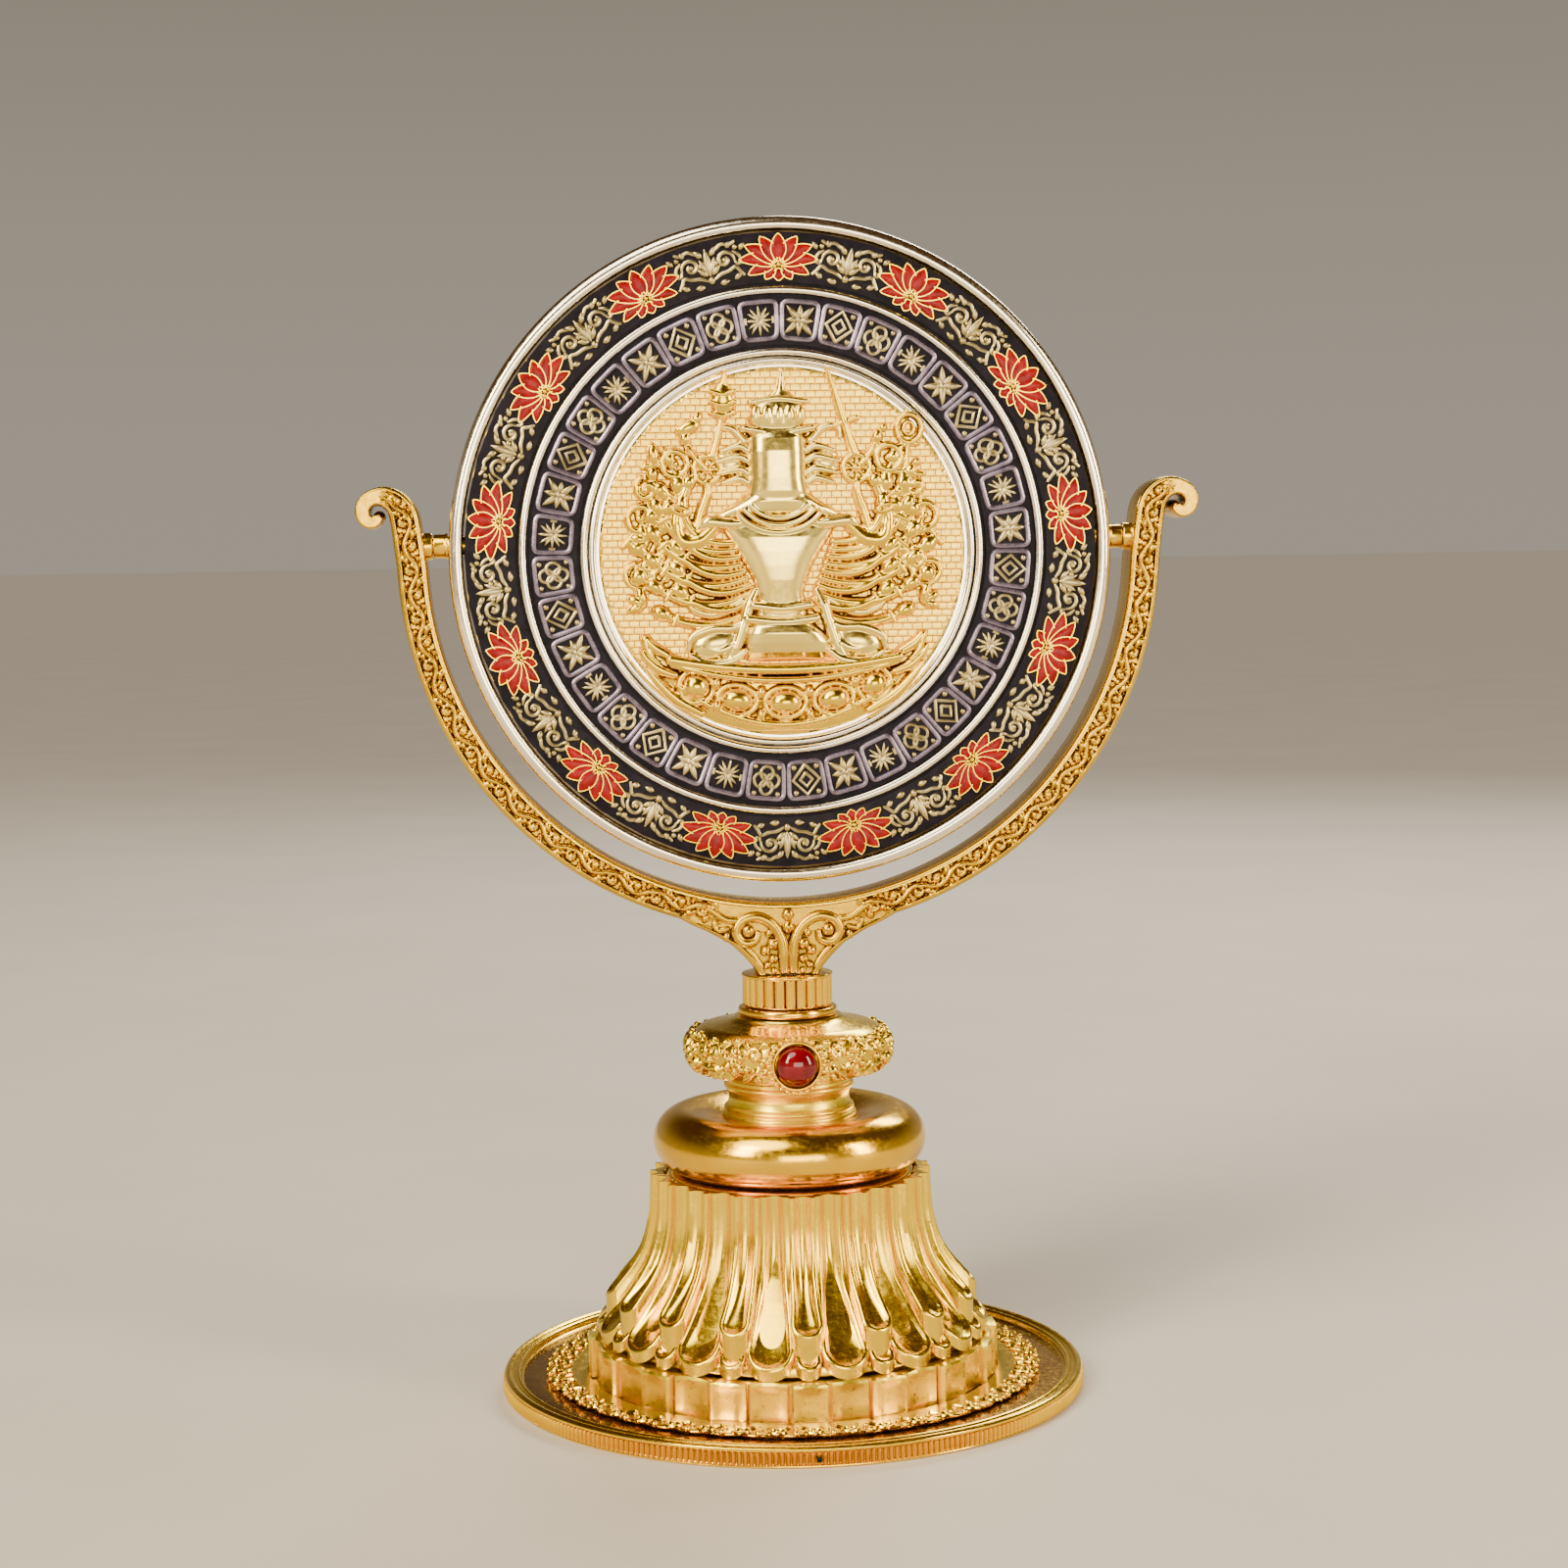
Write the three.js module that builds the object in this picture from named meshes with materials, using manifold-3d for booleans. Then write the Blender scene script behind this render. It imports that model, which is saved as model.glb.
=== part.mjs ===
// Tabletop prayer wheel: a round two-faced disc that flips on two pins held by a crescent yoke,
// on a turned stand with a jewelled knob, a lotus bell and a round base plate.
// Millimetres, +Z up, the front faces -Y. The origin is on the table, under the stand's axis.
import * as THREE from 'three';
import { mergeVertices } from 'three/addons/utils/BufferGeometryUtils.js';
import Module from 'manifold-3d';

const wasm = await Module();
wasm.setup();

// ---------------------------------------------------------------- driving dimensions
const GAP = 0.2;                 // clearance between neighbouring pieces
const TURNED = 40;               // sides of a large turned piece
const TURNED_SMALL = 16;         // sides of a small turned piece

const rod = { radius: 1.9, bore: 2.3, bottom: 1.6, top: 68.5 };
const nut = { radius: 3.9, bottom: 2.0, top: 5.1 };
const washer = { radius: 5.6, thickness: 0.5 };
const base = { radius: 44.7, height: 3.2, floor: 2.0, channel: 41.9, recess: 0.9, pad: 0.6 };
const lace = { inner: 32.0, outer: 38.1, height: 1.1 };
const drum = { radius: 31.7, step: 0.8, wall: 3.2, top: 8.2, panels: 32 };
const bell = { top: 33.3, bottom: 8.4, radius: 20.75, upperLip: 28.9, lip: 30.6, wall: 2.2 };
const lobes = { count: 16, depth: 0.035 };    // the bell's petals, their depth as a share of its radius
const cushion = { radius: 21.0, bottom: 33.5, top: 43.0, seat: 41.4 };
const neck = { radius: 9.5, bottom: 41.6, top: 47.6 };
const knob = { radius: 15.9, bottom: 47.8, top: 57.2, middle: 52.3, swell: 3.6 };
const ruby = { radius: 3.0, z: 51.9, crown: 1.9, seatDepth: 1.7, bezel: 0.9 };
const flange = { radius: 7.4, bottom: 57.4, top: 58.6 };
const collar = { radius: 6.9, bottom: 58.8, top: 63.7, flutes: 24, fluteDepth: 0.05 };

const disc = { radius: 50, z: 128, thickness: 10, faceDepth: 0.9 };
const pivotZ = disc.z + 1.6;     // the pins sit above the centre, so that the disc hangs upright
const rim = { inner: 47.9, chamfer: 0.8 };
const bands = { medallion: 29.0, innerRing: 30.4, outerRing: 39.6, divider: 38.4 };
// The mirror is thicker than the front's pieces, so that the two faces nearly balance on the pins.
const plate = { front: 0.6, back: 1.0, face: disc.thickness / 2 - disc.faceDepth };
const mirror = { radius: 38.1, inside: 2.8, outside: 4.7 };
const core = { inner: 42.5, half: 2.9, paper: 2.6 };
const tiles = { count: 36, length: 3.7, height: 4.6, rise: 0.45, base: 0.25 };
const pad = { radius: 3.1, stretch: 1.35, thickness: 0.45 };
const lotus = { count: 13, petals: 7, width: 10.0, thickness: 0.5, lift: 0.25 };
const bandMiddle = (bands.outerRing + rim.inner) / 2;

const yoke = { inner: 53.2, outer: 57.7, depth: 8, bevel: 0.9, stemBottom: 63.9, stemHalf: 4.8 };
const finial = { x: 58.9, z: 133.5, radius: 4.65, curl: 2.05, curlX: 61.35, slit: 0.55 };
const pin = { shoulder: 2.0, journal: 1.3, shank: 1.5, root: 43.8, shoulderEnd: 52.25, end: 57.0 };
const bush = { flange: 2.9, flangeThickness: 0.6, sleeve: 2.0, bore: 1.42 };
const armBore = { from: 50.4, to: 58.4 };     // the cut through each arm for its bush
const pinBore = { from: 44, to: 54 };         // the cut through the rim for each pin

// ---------------------------------------------------------------- finishes
const finish = (color, roughness, metalness) =>
  new THREE.MeshStandardMaterial({ color, roughness, metalness });
const gold = finish(0xd8a03a, 0.18, 1);
const paleGold = finish(0xf0d9a0, 0.1, 1);
const enamel = finish(0x2a2632, 0.35, 0.6);
const antique = finish(0x9a8658, 0.45, 0.9);
const redEnamel = finish(0xb5222b, 0.25, 0.1);
const rubyGlass = finish(0xa30818, 0.05, 0);
const steel = finish(0x9a9ca0, 0.35, 1);
const paper = finish(0xe6dcc2, 0.9, 0);
const felt = finish(0x2c2a28, 0.95, 0);

// ---------------------------------------------------------------- geometry helpers
const signedArea = (points) => points.reduce((sum, [x, y], i) => {
  const [nextX, nextY] = points[(i + 1) % points.length];
  return sum + (x * nextY - nextX * y) / 2;
}, 0);

// A closed outline of [radius, height] pairs turned about Y.
function turnedY(outline, sides = TURNED) {
  const ring = signedArea(outline) > 0 ? outline : [...outline].reverse();
  const onAxis = ring.findIndex(([r], i) => r === 0 && ring[(i + 1) % ring.length][0] > 0);
  const path = onAxis < 0
    ? [...ring, ring[0]]
    : [...ring.slice(onAxis), ...ring.slice(0, onAxis)];
  return new THREE.LatheGeometry(path.map(([r, h]) => new THREE.Vector2(r, h)), sides);
}

// Turns a shape drawn in XY, or turned about Y, upright: its Y becomes Z, its Z becomes -Y.
const upright = (geometry) => geometry.rotateX(Math.PI / 2);
const turnedZ = (outline, sides) => upright(turnedY(outline, sides));
const turnedX = (outline, sides) => turnedY(outline, sides).rotateZ(-Math.PI / 2);

// The [x, y] pair at a radius and an angle in degrees about a centre.
function polar(cx, cy, radius, degrees) {
  const angle = THREE.MathUtils.degToRad(degrees);
  return [cx + radius * Math.cos(angle), cy + radius * Math.sin(angle)];
}

// A round arc of [x, y] pairs from angle start to angle end, in degrees, both ends included.
const arc = (cx, cy, radius, start, end, steps) => Array.from({ length: steps + 1 },
  (_, i) => polar(cx, cy, radius, start + ((end - start) * i) / steps));

const mirrored = (points) => points.slice(1).reverse().map(([x, y]) => [-x, y]);

const annulus = (inner, outer, low, high) => [[inner, low], [outer, low], [outer, high], [inner, high]];

function extruded(points, depth, options = {}) {
  const shape = new THREE.Shape(points.map(([x, y]) => new THREE.Vector2(x, y)));
  return new THREE.ExtrudeGeometry(shape, { depth, bevelEnabled: false, ...options });
}

function toManifold(geometry) {
  const bare = geometry.clone();
  bare.deleteAttribute('normal');
  bare.deleteAttribute('uv');
  const merged = mergeVertices(bare, 1e-4);
  return new wasm.Manifold(new wasm.Mesh({
    numProp: 3,
    vertProperties: new Float32Array(merged.attributes.position.array),
    triVerts: new Uint32Array(merged.index.array),
  }));
}

function toGeometry(manifold) {
  const mesh = manifold.getMesh();
  const geometry = new THREE.BufferGeometry();
  geometry.setAttribute('position', new THREE.BufferAttribute(mesh.vertProperties, 3));
  geometry.setIndex(new THREE.BufferAttribute(mesh.triVerts, 1));
  geometry.computeVertexNormals();
  return geometry;
}

const cut = (geometry, ...tools) => toGeometry(
  tools.reduce((body, tool) => body.subtract(toManifold(tool)), toManifold(geometry)));
const join = (geometry, ...others) => toGeometry(
  others.reduce((body, other) => body.add(toManifold(other)), toManifold(geometry)));

// Moves each vertex in or out around Z by a factor that depends on its angle and height.
function ripple(geometry, factorAt) {
  const position = geometry.attributes.position;
  for (let i = 0; i < position.count; i += 1) {
    const [x, y, z] = [position.getX(i), position.getY(i), position.getZ(i)];
    const factor = factorAt(Math.atan2(y, x), z, Math.hypot(x, y));
    position.setXY(i, x * factor, y * factor);
  }
  geometry.computeVertexNormals();
  return geometry;
}

// A round bar along X between two distances from the middle, on one side.
const sideBore = (radius, { from, to }, side) =>
  new THREE.CylinderGeometry(radius, radius, to - from, TURNED_SMALL)
    .rotateZ(Math.PI / 2).translate((side * (from + to)) / 2, 0, 0);

function piece(group, name, geometry, material) {
  const mesh = new THREE.Mesh(geometry, material.clone());
  mesh.name = name;
  group.add(mesh);
  return mesh;
}

// ---------------------------------------------------------------- stand
function basePlate() {
  const hub = { radius: 8, top: 9, pocket: 6.2, pocketTop: 6.0 };
  return turnedZ([
    [rod.bore, hub.pocketTop], [hub.pocket, hub.pocketTop], [hub.pocket, base.recess],
    [base.channel - 0.5, base.recess], [base.channel - 0.5, 0], [base.radius - 0.4, 0],
    [base.radius, 0.4], [base.radius, base.height - 0.5], [base.radius - 0.6, base.height],
    [base.channel + 0.6, base.height], [base.channel, base.floor], [hub.radius, base.floor],
    [hub.radius, hub.top], [rod.bore, hub.top],
  ]);
}

function laceRing() {
  const low = base.floor + GAP;
  return turnedZ([
    [lace.inner, low], [lace.outer - 0.5, low], [lace.outer, low + 0.4],
    [lace.outer - 0.6, low + lace.height], [lace.inner, low + lace.height],
  ]);
}

// The lowest tier: upright panels that stand in and out by turns.
function petalDrum() {
  const outline = [];
  for (let i = 0; i < drum.panels; i += 1) {
    const radius = drum.radius - (i % 2) * drum.step;
    const middle = (i * 360) / drum.panels;
    const half = 180 / drum.panels - 0.3;
    outline.push(...arc(0, 0, radius, middle - half, middle + half, 1));
  }
  const shape = new THREE.Shape(outline.map(([x, y]) => new THREE.Vector2(x, y)));
  const inside = new THREE.Path();
  inside.absarc(0, 0, drum.radius - drum.wall, 0, 2 * Math.PI, true);
  shape.holes.push(inside);
  const low = base.floor + GAP;
  const wall = new THREE.ExtrudeGeometry(shape, {
    depth: drum.top - low, bevelEnabled: false, curveSegments: TURNED / 2,
  });
  return wall.translate(0, 0, low);
}

// The bell: straight under the cushion, flaring to an upper tier of petal tips and then a lower one.
function lotusBell() {
  const outside = [
    [bell.radius, bell.top], [bell.radius + 0.4, bell.top - 6.0], [23.2, 21.6], [25.6, 18.0],
    [bell.upperLip, 14.8], [bell.upperLip, 12.4], [bell.lip, 10.6], [bell.lip, bell.bottom],
  ];
  const inside = [
    [bell.lip - bell.wall, bell.bottom], [bell.upperLip - bell.wall, 12.4], [23.2, 18.0],
    [bell.radius - bell.wall, bell.top - 6.0], [bell.radius - bell.wall, bell.top - bell.wall],
  ];
  const shell = turnedZ([
    [rod.bore, bell.top], ...outside, ...inside, [rod.bore, bell.top - bell.wall],
  ], lobes.count * 3);
  return ripple(shell, (angle, z, radius) => {
    const open = THREE.MathUtils.clamp((bell.top - z) / (bell.top - bell.bottom), 0, 1);
    const wave = (1 + Math.cos(angle * lobes.count)) / 2;
    return radius > rod.bore + 1 ? 1 - lobes.depth * open * wave : 1;
  });
}

function cushionRing() {
  const tube = (cushion.top - cushion.bottom) / 2;
  const middle = (cushion.top + cushion.bottom) / 2;
  return turnedZ([
    [rod.bore, cushion.bottom], [cushion.radius - tube, cushion.bottom],
    ...arc(cushion.radius - tube, middle, tube, -75, 90, 7),
    [cushion.radius - tube - 3, cushion.top - 0.1],
    [neck.radius + 0.6, cushion.seat], [rod.bore, cushion.seat],
  ]);
}

function turnedNeck() {
  const bead = 0.5;
  return turnedZ([
    [rod.bore, neck.bottom], [neck.radius + bead, neck.bottom], [neck.radius + bead, neck.bottom + 1.5],
    [neck.radius, neck.bottom + 1.9], [neck.radius, neck.top - 1.4],
    [neck.radius + bead, neck.top - 1.1], [neck.radius + bead, neck.top], [rod.bore, neck.top],
  ], TURNED / 2);
}

function jewelKnob() {
  const body = turnedZ([
    [rod.bore, knob.bottom], [neck.radius + 0.8, knob.bottom], [13.4, 48.6],
    ...arc(knob.radius - knob.swell, knob.middle, knob.swell, -55, 70, 6),
    [flange.radius + 0.8, knob.top], [rod.bore, knob.top],
  ]);
  const pocket = { radius: ruby.radius + ruby.bezel + GAP, length: 6, floor: knob.radius - ruby.seatDepth };
  const tool = new THREE.CylinderGeometry(pocket.radius, pocket.radius, pocket.length, TURNED_SMALL);
  return cut(body, tool.translate(0, -(pocket.floor + pocket.length / 2), ruby.z));
}

// The setting's ring, and the domed stone in it. Both are turned about Y and face the front.
function rubySetting() {
  const back = -(knob.radius - ruby.seatDepth + GAP);
  const front = -(knob.radius + 0.5);
  const bezel = turnedY([
    [ruby.radius + GAP, back], [ruby.radius + ruby.bezel, back],
    [ruby.radius + ruby.bezel, front + 0.4], [ruby.radius + 0.5, front], [ruby.radius + GAP, front + 0.2],
  ], TURNED_SMALL);
  const rows = 4;
  const dome = Array.from({ length: rows + 1 }, (_, i) => {
    const angle = (i * Math.PI) / (2 * rows);
    return [i === rows ? 0 : ruby.radius * Math.cos(angle), front - ruby.crown * Math.sin(angle)];
  });
  const stone = turnedY([...dome, [0, back], [ruby.radius, back]], TURNED_SMALL);
  return [bezel, stone].map((geometry) => geometry.translate(0, 0, ruby.z));
}

function collarFlange() {
  return turnedZ([
    [rod.bore, flange.bottom], [flange.radius - 0.4, flange.bottom], [flange.radius, flange.bottom + 0.4],
    [flange.radius - 0.3, flange.top], [rod.bore, flange.top],
  ], TURNED / 2);
}

function flutedCollar() {
  const body = turnedZ(annulus(rod.bore, collar.radius, collar.bottom, collar.top), collar.flutes * 2);
  return ripple(body, (angle, z, radius) => {
    const wave = (1 + Math.cos(angle * collar.flutes)) / 2;
    return radius > rod.bore + 1 ? 1 - collar.fluteDepth * wave : 1;
  });
}

// One half of the yoke's outline, from the bottom of its inside round the finial to the stem.
function yokeHalf() {
  const inside = arc(0, disc.z, yoke.inner, -90, 2, 16);
  const crown = arc(finial.x, finial.z, finial.radius, 165, -12, 8);
  const curl = arc(finial.curlX, finial.z + 0.5, finial.curl, -35, -170, 6);
  const curlSide = finial.curlX - finial.curl;
  const slit = [[curlSide, finial.z + 1.3], [curlSide - finial.slit + 0.1, finial.z + 1.5],
    [curlSide - finial.slit, finial.z - 1.3]];
  const outside = arc(0, disc.z, yoke.outer, 1, -73, 13);
  const flare = [[12.3, 70.7], [9.3, 69.0], [7.1, 66.7], [5.6, 64.9], [yoke.stemHalf, yoke.stemBottom]];
  return [...inside, ...crown, ...curl, ...slit, ...outside, ...flare];
}

function crescentYoke() {
  const half = yokeHalf();
  const blank = upright(extruded([...half, ...mirrored(half)], yoke.depth - 2 * yoke.bevel, {
    bevelEnabled: true, bevelThickness: yoke.bevel, bevelSize: yoke.bevel / 2,
    bevelOffset: -yoke.bevel / 2, bevelSegments: 1,
  })).translate(0, yoke.depth / 2 - yoke.bevel, 0);
  const depth = rod.top + 1 - yoke.stemBottom;
  const socket = upright(new THREE.CylinderGeometry(rod.bore, rod.bore, depth + 2, TURNED_SMALL))
    .translate(0, 0, yoke.stemBottom + depth / 2 - 1);
  const bores = [-1, 1].map((side) => sideBore(bush.sleeve + GAP, armBore, side).translate(0, 0, pivotZ));
  return cut(blank, socket, ...bores);
}

// A flanged sleeve in each arm. It is drawn for the right arm, and turned round for the left.
function pivotBush(side) {
  const face = yoke.inner - GAP - 0.05;
  const start = yoke.inner - GAP - bush.flangeThickness;
  const end = pin.end + 0.6;
  const sleeve = turnedX([
    [bush.bore, start], [bush.flange, start], [bush.flange, face], [bush.sleeve, face],
    [bush.sleeve, end], [bush.bore, end],
  ], TURNED_SMALL);
  return sleeve.rotateZ(side < 0 ? Math.PI : 0).translate(0, 0, pivotZ);
}

function buildStand() {
  const stand = new THREE.Group();
  const washerBottom = nut.top + GAP;
  piece(stand, 'base_plate', basePlate(), gold);
  piece(stand, 'felt_pad', turnedZ(
    [[0, 0], [base.channel - 0.8, 0], [base.channel - 0.8, base.pad], [0, base.pad]]), felt);
  piece(stand, 'lace_ring', laceRing(), gold);
  piece(stand, 'petal_drum', petalDrum(), gold);
  piece(stand, 'lotus_bell', lotusBell(), gold);
  piece(stand, 'cushion_ring', cushionRing(), gold);
  piece(stand, 'turned_neck', turnedNeck(), gold);
  piece(stand, 'jewel_knob', jewelKnob(), gold);
  const [bezel, stone] = rubySetting();
  piece(stand, 'ruby_bezel', bezel, paleGold);
  piece(stand, 'ruby_cabochon', stone, rubyGlass);
  piece(stand, 'collar_flange', collarFlange(), gold);
  piece(stand, 'fluted_collar', flutedCollar(), gold);
  piece(stand, 'crescent_yoke', crescentYoke(), gold);
  piece(stand, 'tie_rod', turnedZ(
    [[0, rod.bottom], [rod.radius, rod.bottom], [rod.radius, rod.top], [0, rod.top]], TURNED_SMALL), steel);
  piece(stand, 'tie_nut', turnedZ(annulus(rod.bore, nut.radius, nut.bottom, nut.top), 6), steel);
  piece(stand, 'tie_washer', turnedZ(
    annulus(rod.bore, washer.radius, washerBottom, washerBottom + washer.thickness), TURNED_SMALL), steel);
  piece(stand, 'pivot_bush_left', pivotBush(-1), gold);
  piece(stand, 'pivot_bush_right', pivotBush(1), gold);
  return stand;
}

// ---------------------------------------------------------------- wheel, drawn about its own centre
const pinOffset = pivotZ - disc.z;

// The two holes for the pins' shanks through the sides of a wheel piece, at the pins' height.
const shankHoles = (reach) => [-1, 1].map(
  (side) => sideBore(pin.shank + GAP, reach, side).translate(0, 0, pinOffset));

function wheelRim() {
  const half = disc.thickness / 2;
  const ring = turnedY([
    [rim.inner, -half + 0.4], [rim.inner + 0.4, -half], [disc.radius - rim.chamfer, -half],
    [disc.radius, -half + rim.chamfer], [disc.radius, half - rim.chamfer],
    [disc.radius - rim.chamfer, half], [rim.inner + 0.4, half], [rim.inner, half - 0.4],
  ], 60);
  return cut(ring, ...shankHoles(pinBore));
}

function coreRing() {
  const ring = turnedY(annulus(core.inner, rim.inner - 0.3, -core.half, core.half), 48);
  return cut(ring, ...shankHoles({ from: pin.root - 0.4, to: pinBore.to }));
}

function pivotPin(side) {
  const shoulderStart = disc.radius + 0.1;
  const shape = turnedX([
    [0, pin.root], [pin.shank, pin.root], [pin.shank, shoulderStart], [pin.shoulder, shoulderStart],
    [pin.shoulder, pin.shoulderEnd], [pin.journal, pin.shoulderEnd], [pin.journal, pin.end], [0, pin.end],
  ], TURNED_SMALL);
  return shape.rotateZ(side < 0 ? Math.PI : 0).translate(0, 0, pinOffset);
}

// The ring of blank blocks: raised tiles on a thin band, all one casting.
function tileRing(front) {
  const middle = (bands.innerRing + bands.divider) / 2;
  const ring = turnedY(annulus(bands.innerRing + 0.4, bands.divider - 0.4,
    front - tiles.base, front), TURNED);
  const thickness = tiles.rise + tiles.base / 2;
  const blocks = Array.from({ length: tiles.count }, (_, i) => {
    const block = new THREE.BoxGeometry(tiles.length, thickness, tiles.height);
    const angle = (2 * Math.PI * (i + 0.5)) / tiles.count;
    block.translate(0, front - (tiles.base + thickness) / 2, middle);
    return block.rotateY(angle);
  });
  return join(ring, ...blocks);
}

// The scroll band: a thin ring with a raised pad between each pair of flowers.
function scrollRing(front) {
  const ring = turnedY(
    annulus(bands.outerRing + 0.4, rim.inner - 0.4, front - tiles.base, front), lotus.count * 4);
  const pads = Array.from({ length: lotus.count }, (_, i) => {
    const oval = new THREE.CylinderGeometry(pad.radius, pad.radius, pad.thickness, 10);
    const angle = (2 * Math.PI * (i + 0.5)) / lotus.count;
    return oval.scale(pad.stretch, 1, 1).translate(0, front - tiles.base - 0.1, bandMiddle).rotateY(angle);
  });
  return join(ring, ...pads);
}

// One lotus flower: a fan of pointed petals above a small cup.
function lotusFlower(front, index) {
  const root = -1.2;
  const shoulder = { share: 0.68, turn: 11 };
  const cup = [[2.4, -2.4], [0.9, -3.1], [-0.9, -3.1], [-2.4, -2.4]];
  const outline = Array.from({ length: lotus.petals }, (_, i) => {
    const heading = 180 - ((i + 0.5) * 180) / lotus.petals;
    const reach = lotus.width / 2 * (0.78 + 0.22 * Math.abs(Math.cos(THREE.MathUtils.degToRad(heading))));
    return [
      polar(0, root, reach * shoulder.share, heading + shoulder.turn),
      polar(0, root, reach, heading),
      polar(0, root, reach * shoulder.share, heading - shoulder.turn),
    ];
  }).flat();
  outline.push(...cup);
  const flower = upright(extruded(outline, lotus.thickness));
  flower.translate(0, front - tiles.base - lotus.lift, bandMiddle);
  return flower.rotateY((2 * Math.PI * index) / lotus.count);
}

// Relief pieces stand on the medallion; each is flat at the back and rounded at the front.
function relief(outline, thickness, bulge) {
  return upright(extruded(outline, thickness, {
    bevelEnabled: true, bevelThickness: bulge, bevelSize: bulge * 0.8,
    bevelOffset: -bulge * 0.8, bevelSegments: 1,
  }));
}

function seatedFigure(floor) {
  const half = [
    [0, -15.8], [9.0, -15.6], [9.6, -13.6], [6.0, -11.4], [4.2, -8.6], [3.0, -5.0], [4.4, -1.6],
    [7.6, 2.4], [11.0, 4.8], [8.4, 7.2], [4.9, 9.0], [4.4, 11.0], [4.3, 17.6], [4.9, 19.0],
    [4.6, 22.2], [1.5, 23.2], [0.6, 26.8],
  ];
  const bulge = 0.7;
  return relief([...half, ...mirrored(half)], 1.4, bulge).translate(0, floor - bulge, 0);
}

// The arms and what they hold, as one scalloped fan on each side of the figure.
function armFan(floor, side) {
  const fingers = 9;
  const inner = arc(0, 0, 12.4, -34, 58, 6).reverse();
  const reach = { tip: 24.4, gap: 22.2 };
  const bulge = 0.4;
  const outline = Array.from({ length: fingers * 2 + 1 }, (_, i) =>
    polar(0, 0, i % 2 ? reach.tip : reach.gap, -38 + (i * 100) / (fingers * 2)));
  const shape = [...outline, ...inner].map(([x, z]) => [side * x, z + 1.5]);
  return relief(side < 0 ? shape.reverse() : shape, 0.7, bulge).translate(0, floor - bulge, 0);
}

function lotusThrone(floor) {
  const top = -16.2;
  const flatness = 0.54;
  const bulge = 0.5;
  const bowl = arc(0, 0, 19.4, -180, 0, 14).map(([x, z]) => [x, top + z * flatness]);
  return relief(bowl, 1.0, bulge).translate(0, floor - bulge, 0);
}

function buildWheel() {
  const wheel = new THREE.Group();
  wheel.position.z = disc.z;
  const front = -plate.face - GAP;
  const raised = [plate.face + GAP, disc.thickness / 2];
  const frontRing = (inner, outer) => turnedY(annulus(inner, outer, -raised[1], -raised[0]));
  piece(wheel, 'wheel_rim', wheelRim(), paleGold);
  piece(wheel, 'core_ring', coreRing(), gold);
  piece(wheel, 'scripture_core', turnedY([
    [0, -core.paper], [core.inner - 0.3, -core.paper], [core.inner - 0.3, core.paper], [0, core.paper],
  ], 48), paper);
  piece(wheel, 'pivot_pin_left', pivotPin(-1), gold);
  piece(wheel, 'pivot_pin_right', pivotPin(1), gold);
  piece(wheel, 'front_plate', turnedY(
    annulus(bands.medallion + 0.3, rim.inner - 0.3, -plate.face, plate.front - plate.face)), enamel);
  piece(wheel, 'front_ring_inner', frontRing(bands.medallion + 0.3, bands.innerRing), paleGold);
  piece(wheel, 'front_ring_outer', frontRing(bands.divider, bands.outerRing), paleGold);
  piece(wheel, 'tile_ring', tileRing(front), antique);
  piece(wheel, 'scroll_ring', scrollRing(front), antique);
  for (let i = 0; i < lotus.count; i += 1) {
    piece(wheel, `lotus_flower_${String(i + 1).padStart(2, '0')}`, lotusFlower(front, i), redEnamel);
  }
  const medallionFront = -plate.face - 0.3;
  piece(wheel, 'medallion', turnedY([
    [0, medallionFront], [bands.medallion, medallionFront],
    [bands.medallion, plate.front - plate.face], [0, plate.front - plate.face],
  ], 48), gold);
  const floor = medallionFront - GAP;
  piece(wheel, 'seated_figure', seatedFigure(floor), gold);
  piece(wheel, 'arm_fan_left', armFan(floor, -1), gold);
  piece(wheel, 'arm_fan_right', armFan(floor, 1), gold);
  piece(wheel, 'lotus_throne', lotusThrone(floor), gold);
  piece(wheel, 'back_plate', turnedY(
    annulus(mirror.radius + 0.3, rim.inner - 0.3, plate.face - plate.back, plate.face)), enamel);
  piece(wheel, 'back_ring', turnedY(annulus(bands.divider, bands.outerRing, ...raised)), paleGold);
  piece(wheel, 'back_mirror', turnedY([
    [0, mirror.inside], [mirror.radius, mirror.inside], [mirror.radius, mirror.outside],
    [0, mirror.outside],
  ]), paleGold);
  return wheel;
}

const prayerWheel = new THREE.Group();
prayerWheel.add(buildStand(), buildWheel());

export default prayerWheel;
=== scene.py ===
"""Prayer wheel: the detailed shapes and finishes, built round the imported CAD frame.

Shapes are worked out in millimetres. A piece of the disc is drawn about the disc's centre, with x to the
right, y towards the back and z up. Every place and outer size comes from the frame's own nodes.
"""

import math

import bmesh
import bpy
import numpy as np
from mathutils import Matrix, Vector


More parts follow.
